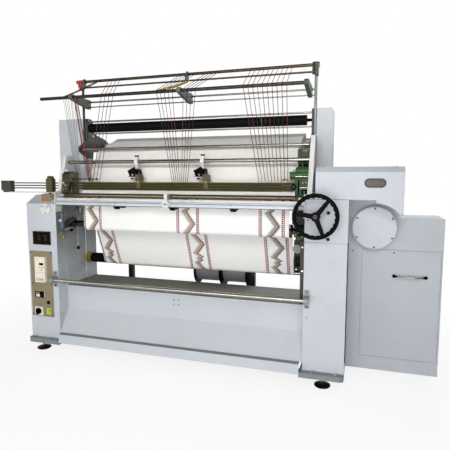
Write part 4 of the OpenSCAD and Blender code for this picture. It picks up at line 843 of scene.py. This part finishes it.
def dark_screws():
    b = Batch()
    for axis, d, h, points in (
            (FRONT, 9, 2.6, grid((-1062, -898), (-4,), (265, 487, 709))),
            (FRONT, 9.6, 2.8, front_ring(COVER, COVER_SCREWS_R, range(90, 450, 60), 143)),
            (FRONT, 9, 2.4, ((1107, 195, 797), (1340, 195, 795))),
            (FRONT, 9, 3, ((863, 0, 992),)),
            (FRONT, 7, 2.4, ((866, 0, 422),)),
            (FRONT, 8, 2.2, front_ring(CAP, CAP_SCREWS_R, (140, 38, 270), -10)),
            (FRONT, 11, 4, grid((-865, 865), (-6,), (488, 574))),
            (FRONT, 7, 2, grid((-381, 403), (0,), (1066,))),
            (FRONT, 12, 3, ((-18, -14, 1066),)),
            (FRONT, 6, 2, grid((-33, -3), (-14,), (1066,)) + grid((-966, -908), (20,), (1072, 1110))),
            (FRONT, 8, 2, grid((-16, 17), (96,), (395, 426))),
            (BACK, 8, 2.2, grid((-1054, -874, 874, 1054), (COLUMN_BACK,), (180, 560, 940))),
            (BACK, 8, 2.2, grid((1110, 1345, 1580), (COLUMN_BACK,), (140, 520, 900))),
            (LEFT, 8, 2.2, grid((LEFT_SIDE,), (60, 230, 400), (180, 560, 940))),
            (UP, 9, 11, grid([x + dx for x in HANGER_X for dx in (-7, 7)], (162.5, 177.5), (1370,)))):
        each(cap_screw, b, axis, d, h, "black_metal", points)
    each(dome, b, FRONT, 20, 5, "black_metal", ((975, 0, 1035), (976, 0, 885)))
    b.make("dark_screws")


def bright_screws():
    b = Batch()
    for side in SIDES:
        out, into = (side, 0, 0), (-side, 0, 0)
        feet = (side * 905, side * 1040)
        bearing_ring = [polar((362, 625), 32, a) for a in (45, 135, 225, 315)]
        each(hex_bolt, b, UP, 17, 9, "chrome", grid(feet, (-21,), (102,)))
        each(hex_bolt, b, UP, 15, 8, "chrome", grid(feet, (476,), (102,)))
        # end plates, roller brackets, bearing blocks and rail ends: how far out, axis, size and (y, z) places
        for shape, x, axis, d, h, places in (
                (cap_screw, 876, out, 13, 6, ((130, 1140), (230, 1140), (300, 1150))),
                (hex_bolt, 830, into, 13, 6, ((400, 1650), (445, 1630), (400, 1560), (445, 1545))),
                (cap_screw, 822, into, 10, 5, ((100, 880), (200, 938), (196, 896))),
                (cap_screw, 834, into, 9, 4, bearing_ring),
                (cap_screw, 838, into, 8, 3, ((2, 1012), (52, 1012), (2, 1124), (52, 1124)))):
            each(shape, b, axis, d, h, "chrome", [(side * x, *place) for place in places])
    each(cap_screw, b, FRONT, 8, 4, "chrome", grid(HANGER_X, (158,), (1290,)))
    each(hex_bolt, b, FRONT, 9, 4, "chrome", [(x + 44, 98, 1205) for x in HANGER_X])
    b.make("bright_screws")


dark_screws()
bright_screws()

# Bare oval plate on the hood
PLATE = (1218, 1202)


def oval(a, h, y, n=20):
    """Ring of an oval with half width a and half height h, at a depth."""
    ends = ((a - h, -90), (h - a, 90))
    flat = [polar((x, 0), h, start + 180 * k / n) for x, start in ends for k in range(n + 1)]
    return [P(PLATE[0] + x, y, PLATE[1] + z) for x, z in flat]


def bare_plate():
    b = Batch()
    rings = [oval(*r) for r in ((56.0, 25.0, 0.3), (56.0, 25.0, -1.6), (54.8, 23.8, -2.6), (51.0, 20.0, -2.6),
                                (50.0, 19.0, -1.4))]
    n = len(rings[0])
    b.add([v for ring in rings for v in ring], quads(len(rings), n, True), "plate_rim")
    b.add(rings[-1], [tuple(range(n))], "plate_face")
    b.add(rings[0], [tuple(range(n))[::-1]], "plate_rim")
    for z in (PLATE[1] - 11, PLATE[1] + 11):
        bx(b, (PLATE[0] - 36, -1.9, z - 0.8), (PLATE[0] + 36, -1.3, z + 0.8), "plate_rim", 0.2)
    b.make("bare_plate")


bare_plate()

# Material names that the tables below use often
BLACK, COPPER, CHROME, STEEL, CAST = "black_plastic", "copper", "chrome", "dark_steel", "cast_grey"
GREY, WHITE, KHAKI, KEY, PALE = "bracket_grey", "white_metal", "khaki", "key_grey", "grey_plastic"


def panel_details():
    b = Batch()
    for row in (
            # inverter: display, flap seam and upper field
            ((-981, -27.2, 622), (-940, -25.5, 646), PALE, 0.6),
            ((-977, -27.6, 626), (-944, -26.6, 642), BLACK, 0.4),
            ((-1011, -26.6, 574), (-939, -25.8, 575.4), KEY, 0.1),
            ((-1006, -26.9, 655), (-944, -25.8, 674), PALE, 0.5),
            # meter: dark bezel, white window and two fields
            ((-1032.4, -16, 390.6), (-957.6, -13.6, 437.4), BLACK, 1.1),
            ((-1022, -17, 397), (-993, -15.6, 417), PALE, 0.5),
            ((-985, -17, 398), (-964, -15.6, 430), BLACK, 0.5),
            ((-1022, -16.6, 421), (-993, -15.6, 431), "key_red", 0.3)):
        bx(b, *row)
    # keys, vents and knobs
    for k in range(5):
        bx(b, (-982 + 9.6 * k, -27.4, 606), (-975.5 + 9.6 * k, -25.6, 611), KEY if k else "key_red", 0.6)
    for k in range(7):
        bx(b, (-1004 + 9 * k, -26.6, 512), (-1000 + 9 * k, -25.8, 534), KEY, 0.2)
    dome(b, (-961, -26, 592), FRONT, 9, 4, KEY)
    rod(b, (-974.5, -15.6, 420), (-974.5, -21, 420), 9, BLACK)
    # ring round the black button
    b.lathe(P(-925, -4, 359), FRONT, [(0.0128, SUNK), (0.0165, SUNK), (0.0165, 0.003), (0.0150, 0.004),
                                      (0.0128, 0.004), (0.0128, SUNK)], 28, CHROME)
    b.make("panel_details")


def green_plate():
    """Yellow-green plate with a round hole for its button."""
    cx, cz, half_w, half_h, hole_r, n = -930.0, 294.0, 17.0, 22.0, 12.9, 40
    verts = []
    # depth and share of the outer shape of each ring; no share means the hole
    for y, share in ((-4.0, 1), (-6.6, 1), (-7.2, 0.96), (-7.2, None), (-4.0, None)):
        for k in range(n):
            c, s = polar((0, 0), 1, 360 * k / n)
            r = share / max(abs(c) / half_w, abs(s) / half_h) if share else hole_r
            verts.append(P(cx + r * c, y, cz + r * s))
    # the last ring joins the first
    faces = [tuple(i % len(verts) for i in f) for f in quads(len(verts) // n + 1, n, True)]
    b = Batch()
    b.add(verts, faces, "green_plastic")
    b.make("green_plate")


def window_frame():
    x0, x1, z0, z1 = -1039.0, -893.0, 767.0, 860.0
    b = Batch()
    for xa, za, xb, zb in ((x0 + 1, z0 + 1, x1 - 1, z0 + 5), (x0 + 1, z1 - 5, x1 - 1, z1 - 1),
                           (x0 + 1, z0 + 4.5, x0 + 5, z1 - 4.5), (x1 - 5, z0 + 4.5, x1 - 1, z1 - 4.5)):
        bx(b, (xa, -6.6, za), (xb, -4.8, zb), "window_trim", 0.6)
    for z in (z0 + 30, z0 + 44, z0 + 58):
        for xa, xb in ((x0 + 40, x0 + 66), (x0 + 88, x0 + 118)):
            bx(b, (xa, -5.3, z), (xb, -4.9, z + 8), "window_digits", 0.1)
    b.make("window_frame")


panel_details()
green_plate()
window_frame()

# Small trim, as tables of boxes (corners, material, chamfer) and rods (ends, diameter, material)
TRIM_BOXES = (
    # right inner wall
    ((772, 144, 690), (812, 150.5, 752), BLACK, 2.0),
    ((824, 96, 682), (844.2, 112, 698), STEEL, 2.0), ((824, 96, 792), (844.2, 112, 808), STEEL, 2.0),
    # socket of the top bar, cam plate of the left lifter
    ((843.6, 354, 1866), (868, 394, 1952.5), CAST, 6.0), ((-836, 104, 1273), (-816, 130, 1290), WHITE, 2.0),
    # right lifter: slots and lever plates
    ((790, 78, 1134), (800, 82.4, 1216), BLACK, 1.0), ((812, 77, 1190), (846, 82.4, 1216), STEEL, 1.5),
    ((812, 78, 1136), (846, 82.4, 1160), BLACK, 1.5), ((782, 186, 1290), (838, 191, 1318), BLACK, 1.5),
    ((782, 186, 1362), (838, 191, 1400), STEEL, 1.5),
    # gear cover and its green casting in the corner behind the rollers
    ((750, 232, 858), (844.2, 240, 1034), BLACK, 3.0), ((756, 228, 866), (838, 232.4, 1026), BLACK, 2.5),
    ((770, 223, 940), (826, 228.4, 1012), STEEL, 3.0),
    ((772, 152, 849.8), (826, 198, 880), "green_casting", 4.0),
    # joint under the hood, a black strip along the column's edge as painted shade for the gap beside it, lid
    # of the junction box
    ((846, -0.5, 1108.6), (1084, 0.3, 1111), CAST, 0.2), ((1083.8, 1, 172), (1089, 12, 868), BLACK, 1.0),
    ((-970, 17.5, 1068), (-904, 20.2, 1114), "lid_brown", 1.0),
    # middle rail bracket: cross piece and the block beside its arm
    ((-50, -10, 1058), (14, -0.3, 1074), WHITE, 2.0), ((-7.2, -2, 1095.3), (14, 28, 1121), CAST, 2.0),
    # lever of the left inner wall
    ((-821.8, 62, 866), (-816, 150, 880), GREY, 1.5),
)
TRIM_RODS = (
    # pins at both lifters' tops
    ((772, 95, 1220), (694, 95, 1217), 9, COPPER), ((742, 95, 1218.8), (730, 95, 1218.4), 13, CHROME),
    ((-770, 95, 1222), (-565, 95, 1222), 7, STEEL), ((-640, 95, 1222), (-622, 95, 1222), 12, STEEL),
    ((-580, 95, 1222), (-566, 95, 1222), 12, STEEL),
    # lever on the right inner wall
    ((836, 104, 690), (836, 104, 800), 9, CHROME),
    # left lifter: studs and discs
    ((-769, 120, 1262), (-752, 120, 1262), 18, GREY), ((-769, 128, 1180), (-755, 128, 1180), 16, GREY),
    ((-826, 82.3, 1196), (-826, 70, 1196), 34, CAST, 24), ((-826, 70, 1196), (-826, 64, 1196), 14, CHROME),
    ((-786, 82.3, 1200), (-786, 73, 1200), 26, STEEL, 24),
    ((-798, 82.3, 1156), (-798, 66, 1156), 38, STEEL, 24),
    ((-798, 66, 1156), (-798, 60, 1156), 18, COPPER), ((-834, 82.3, 1150), (-834, 74, 1150), 20, COPPER),
    # right lifter: beam end, pins and a lever over the top
    ((772, 112, 1270), (757, 112, 1270), 18, GREY), ((768, 82.3, 1177), (768, 72, 1177), 34, BLACK, 24),
    ((768, 72, 1177), (768, 68, 1177), 16, STEEL), ((800, 75, 1172), (846, 75, 1172), 9, CHROME),
    ((774, 87, 1238), (846, 87, 1238), 9, CHROME), ((812, 132, 1276), (806, 150, 1316), 12, COPPER),
    ((806, 144, 1312), (806, 158, 1318), 18, STEEL),
    # gland of the junction box
    ((-920, 50, 1117.8), (-920, 50, 1127), 18, BLACK),
    # left inner wall: pipe flange, knobs and discs
    ((-844.2, 240, 1012), (-828, 240, 1012), 28, CAST), ((-822, 124, 862), (-808, 124, 862), 24, BLACK),
    ((-844.2, 67, 820), (-830, 67, 820), 28, "beige_plastic"), ((-830, 67, 820), (-824, 67, 820), 12, STEEL),
    ((-838, 228.8, 706), (-838, 228.8, 730), 20, BLACK),
)
PIPE = ((-834, 240, 1012), (-822, 236, 1006), (-814, 222, 984), (-812, 208, 958), (-812, 201, 930),
        (-812, 200, 888))
# Turned profiles as (radius, height) in metres
END_CAP = [(0, 0), (0.0125, 0), (0.0135, 0.004), (0.0135, 0.010), (0.0110, 0.017), (0.006, 0.021),
           (0, 0.0225)]
FLANGE = [(0, 0), (0.0164, 0), (0.0168, 0.002), (0.0168, 0.010), (0.0140, 0.013), (0.008, 0.014), (0, 0.014)]
BOSS_RING = [(0.0215, 0), (0.0252, 0), (0.0258, 0.001), (0.0258, 0.007), (0.0252, 0.008),
             (0.0215, 0.008), (0.0215, 0)]


def small_trim():
    b = Batch()
    for row in TRIM_BOXES:
        bx(b, *row)
    for row in TRIM_RODS:
        rod(b, *row)
    # clips under the front rail
    for x0, x1 in ((-398, -316), (395, 447), (-2, 56)):
        bx(b, (x0, 3, 1036), (x1, 27, 1045.2), BLACK, 2.5)
        bx(b, (x0 + 6, 6, 1026), (x0 + 40, 24, 1037), BLACK, 2.5)
    # screws of the right wall, the two lifters and the gear cover
    for d, h, points in (
            (12, 5, grid((832,), (24,), (520, 690, 830))),
            (10, 4, ((780, 150, 672), (836, 150, 672), (836, 150, 838))),
            (7, 3.5, ((-845, 82, 1214), (-770, 82, 1140), (-770, 82, 1214))),
            (8, 4, ((820, 77, 1203), (838, 77, 1203), (829, 77, 1148))),
            (9, 4, grid((762, 832), (228,), (874, 1018)))):
        each(cap_screw, b, FRONT, d, h, CHROME, points)
    # end cap and flange of the top bar, rings on the left lifter's boss
    b.lathe(P(-886, *TOP_BAR), LEFT, END_CAP, 24, "cap_green")
    b.lathe(P(861, *TOP_BAR), RIGHT, FLANGE, 28, GREY)
    for x in (-838, -822, -806):
        b.lathe(P(x, 111, 1244), RIGHT, BOSS_RING, 26, STEEL)
    tilted(b, (-812, 76, 1178), (44, 9, 11), 32, GREY)
    tilted(b, (-776, 77, 1176), (10, 8, 46), 18, BLACK)
    # guide units: turned cover plates, under plates and pins
    for x in HANGER_X:
        tilted(b, (x - 8, 126, 1260), (58, 10, 66), -26, BLACK)
        bx(b, (x - 30, 118, 1231), (x + 26, 152, 1236), WHITE, 1.0)
        bx(b, (x + 30, 92, 1216), (x + 54, 97.4, 1248), KHAKI, 1.5)
        rod(b, (x - 52, 140, 1240), (x - 20, 140, 1240), 7, CHROME)
        rod(b, (x - 8, 122.6, 1250), (x - 8, 116, 1250), 14, CHROME)
        rod(b, (x + 40, 120, 1251), (x + 40, 120, 1266), 12, STEEL)
    # left inner wall: bent pipe with its knob, and a knob in front
    b.tube([P(*q) for q in PIPE], 0.0055, 12, CHROME)
    dome(b, PIPE[-1], DOWN, 17, 12, GREY)
    dome(b, (-829, 29.4, 937), FRONT, 20, 12, WHITE)
    b.make("small_trim")


def weft_gap_shades():
    """Thin dark strip behind each weft bar that closes the slit under it: painted shade for the gap between
    the bars.
    """
    for k, z in enumerate((1150, 1168, 1186), 1):
        b = Batch()
        bx(b, (-700, 110.8, z - 2.6), (690, 112.2, z + 14), "weft_lip", 0.3)
        b.make("weft_lip_%d" % k, "weft_bar_%d" % k)


small_trim()
weft_gap_shades()

# Access panels and louvres on the sides and the back
SHEET, SHEET_EDGE, THIN_EDGE, SEAT = 1.8, 0.8, 0.7, 0.2
SLAT, SLAT_H, SLIT_H, SLIT = 6, 10, 7, 0.8


def louvres(b, face, across, at, z0, z1, count):
    """Slats over black strips on a wall, the strips painted shade for the openings under the slats, standing
    out of it towards the back or the left.
    """
    a0, a1 = across
    for k in range(count):
        z = z0 + (z1 - z0) * k / count
        for mat, out, inset, low, high, ch in (("side_paint", SLAT, 0, z, z + SLAT_H, 2.7),
                                               ("black_metal", SLIT, 4, z - SLIT_H, z, 0.3)):
            if face == BACK:
                bx(b, (a0 + inset, at, low), (a1 - inset, at + out, high), mat, ch)
            else:
                bx(b, (at - out, a0 + inset, low), (at, a1 - inset, high), mat, ch)


def panel_screws(b, axis, points):
    each(cap_screw, b, axis, 8, 2.2, "black_metal", points)


def access_panels():
    b = Batch()
    front = COLUMN_BACK - SHEET
    for x0, x1, z0, z1 in ((-1066, -862, 150, 972), (862, 1066, 150, 972), (1098, 1592, 110, 930)):
        bx(b, (x0, front, z0), (x1, COLUMN_BACK, z1), "side_paint", SHEET_EDGE)
    for x0, x1 in ((-1066, -874), (860, 950)):
        bx(b, (x0, front, 1140), (x1, COLUMN_BACK, 1610), "side_paint", SHEET_EDGE)
        panel_screws(b, BACK, grid((x0 + 12, x1 - 12), (COLUMN_BACK - SEAT,), (1155, 1595)))
    bx(b, (LEFT_SIDE, 24, 150), (LEFT_SIDE + SHEET, 442, 972), "side_paint", SHEET_EDGE)
    louvres(b, BACK, (1180, 1510), COLUMN_BACK - SEAT, 600, 860, 9)
    louvres(b, BACK, (1180, 1510), COLUMN_BACK - SEAT, 190, 330, 5)
    louvres(b, LEFT, (110, 350), LEFT_SIDE + SEAT, 690, 900, 8)
    # hood: back, right side and top
    for lo, hi in (((980, 369.8, 1130), (1350, 371.4, 1274)), ((1365.8, 26, 1024), (1367.4, 344, 1270)),
                   ((926, 36, 1289.8), (1342, 336, 1291.4))):
        bx(b, lo, hi, "side_paint", THIN_EDGE)
    panel_screws(b, BACK, grid((994, 1336), (371.2,), (1144, 1260)))
    panel_screws(b, RIGHT, grid((1367.2,), (42, 328), (1040, 1254)))
    panel_screws(b, UP, grid((942, 1326), (52, 320), (1291.2,)))
    b.make("access_panels")


def deck_panels():
    b = Batch()
    back = 449.6
    for x0, x1 in ((-812, -668), (-606, 380), (444, 812)):
        bx(b, (x0, back - SHEET, 176), (x1, back, 290), "deck_grey", SHEET_EDGE)
        panel_screws(b, BACK, grid((x0 + 12, x1 - 12), (back - SEAT,), (188, 278)))
    b.make("deck_panels")


access_panels()
deck_panels()

# Spare yarn: bunches between two bars. Each has its count, x with step and spread at both ends, (y, z) at
# both ends, range of sag, sway, points, radius and yarns
BUNCHES = (
    # yellow bunch from the yarn bar to the top rod near the middle clamp
    (18, (-158, 5.0, 4), (-6, 1.3, 1), (171, 1801.5), (344.2, 1884), (2, 12), 0, 12, 0.0013,
     ("yellow", "yellow", "yellow", "lemon", "yellow", "umber")),
    # dark rope from the top bar to the yarn bar's left arm
    (10, (-692, -5, 3), (-846, -3.2, 2), (362.2, 1934), (178, 1801.5), (0, 9), 0, 12, 0.0012,
     ("umber", "umber", "ochre", "umber", "moss", "umber")),
    # thick red bundle from the yarn bar to the weft bars, pale yarns beside it
    (9, (-782, 3.2, 1), (-652, 4.4, 2), (158.4, 1787), (105, 1203), None, 2.2, 16, 0.0012,
     ("wine", "umber", "wine", "umber", "scarlet", "wine", "umber", "wine", "umber")),
    (7, (-868, 15, 3), (-738, 5, 0), (158.4, 1787), (105, 1203), None, 0, 10, 0.0012,
     ("moss", "slate", "moss", "ochre", "slate", "moss", "slate")),
)
HANK_R = 12.2


def hank(b, draw):
    """Red yarn looped over the top bar's left end."""
    for k in range(16):
        x = -884 + 26 * (k / 15) + draw.uniform(-1, 1)
        drop, wide, sway = draw.uniform(44, 66), draw.uniform(12.5, 16), draw.uniform(-7, 7)
        pts = []
        for i in range(21):
            out, up = polar((0, 0), 1, 360 * i / 20 + 90)
            over = up > 0
            y = TOP_BAR[0] + (HANK_R if over else wide) * out * (1 if up > -0.6 else 0.8)
            pts.append(P(x - (0 if over else sway * up), y, TOP_BAR[1] + (HANK_R if over else drop) * up))
        b.tube(pts, 0.0016 + 0.0006 * draw.random(), 7,
               draw.choice(("scarlet", "scarlet", "cherry", "cherry", "rose")))


def spare_yarn():
    draw = random.Random(11)
    b = Batch()
    hank(b, draw)
    for count, (xa, da, sa), (xb, db, sb), (ya, za), (yb, zb), sags, sway, points, r, yarns in BUNCHES:
        for k in range(count):
            x0 = xa + da * k + draw.uniform(-sa, sa)
            x1 = xb + db * k + (draw.uniform(-sb, sb) if sb else 0)
            sag = draw.uniform(*sags) if sags else 0
            pts = []
            for f in (i / points for i in range(points + 1)):
                x = x0 + (x1 - x0) * f + sway * math.sin(6 * f + k)
                pts.append(P(x, ya + (yb - ya) * f, za + (zb - za) * f - sag * 4 * f * (1 - f)))
            b.tube(pts, r, 6, yarns[k % len(yarns)])
    b.make("spare_yarn")


spare_yarn()

# Floor, world and lamps
FLOOR_HALF = 30.0


def make_floor():
    """White stage: seen bright, dimmer towards the machine as painted shade, with soft shadows, and lighting
    the machine as a plain pale floor.
    """
    mat = bpy.data.materials.new("floor")
    mat.use_nodes = True
    t = Nodes(mat.node_tree)
    place = t.add("ShaderNodeNewGeometry").outputs["Position"]
    away = t.add("ShaderNodeVectorMath", place, operation="LENGTH")
    # the glow dims towards the machine: painted shade round it on the floor
    glow_dimmed_near_machine = t.add("ShaderNodeEmission", (1, 1, 1, 1), t.span(away.outputs["Value"], 1.6, 3.6, 0.84, 0.97))
    shadow = t.add("ShaderNodeBsdfDiffuse", (0.22, 0.22, 0.22, 1))
    seen = t.add("ShaderNodeAddShader", shadow.outputs[0], glow_dimmed_near_machine.outputs[0])
    bounce = t.add("ShaderNodeBsdfDiffuse", (0.85, 0.85, 0.85, 1))
    camera_ray = t.add("ShaderNodeLightPath").outputs["Is Camera Ray"]
    pick = t.add("ShaderNodeMixShader", camera_ray, bounce.outputs[0], seen.outputs[0])
    t.add("ShaderNodeOutputMaterial", pick.outputs[0])
    s = FLOOR_HALF
    floor = new_object("floor", [(-s, -s, 0), (s, -s, 0), (s, s, 0), (-s, s, 0)], [(0, 1, 2, 3)], [mat])


def make_world():
    """White where it is seen, a dim grey where it lights."""
    world = bpy.data.worlds.new("world")
    SCENE.world = world
    world.use_nodes = True
    t = Nodes(world.node_tree)
    rays = t.add("ShaderNodeLightPath").outputs
    direct = t.math("MAXIMUM", rays["Is Camera Ray"], rays["Is Transmission Ray"])
    lights, seen = (t.add("ShaderNodeBackground", (1, 1, 1, 1), power) for power in (0.2, 1.0))
    pick = t.add("ShaderNodeMixShader", direct, lights.outputs[0], seen.outputs[0])
    t.add("ShaderNodeOutputWorld", pick.outputs[0])


def area(name, loc, target, size, watts, spread=180.0):
    d = bpy.data.lights.new(name, "AREA")
    d.shape = "RECTANGLE"
    d.size, d.size_y = size
    d.energy = watts
    d.spread = math.radians(spread)
    o = link(name, d)
    o.location = loc
    o.rotation_euler = (Vector(target) - Vector(loc)).to_track_quat("-Z", "Y").to_euler()


make_floor()
make_world()
area("key", (0.7, -3.6, 0.64), (0.2, 0, 0.75), (4.2, 1.24), 30)
area("upper", (1.5, -4.6, 3.1), (0.3, 0.3, 1.1), (4.2, 1.6), 72)
area("low", (-0.1, -2.6, 0.22), (-0.1, 0.1, 0.55), (2.8, 0.32), 13)
area("sheet", (0.0, -2.5, 2.4), (0.04, 0.05, 1.42), (2.0, 0.4), 1.8, 36.0)
area("fill", (-4.2, -4.2, 2.0), (0, 0, 0.9), (3.0, 3.0), 36)
area("back", (1.0, 5.0, 3.0), (0, 0, 0.9), (4.0, 3.0), 100)

SCENE.view_settings.view_transform = "Standard"
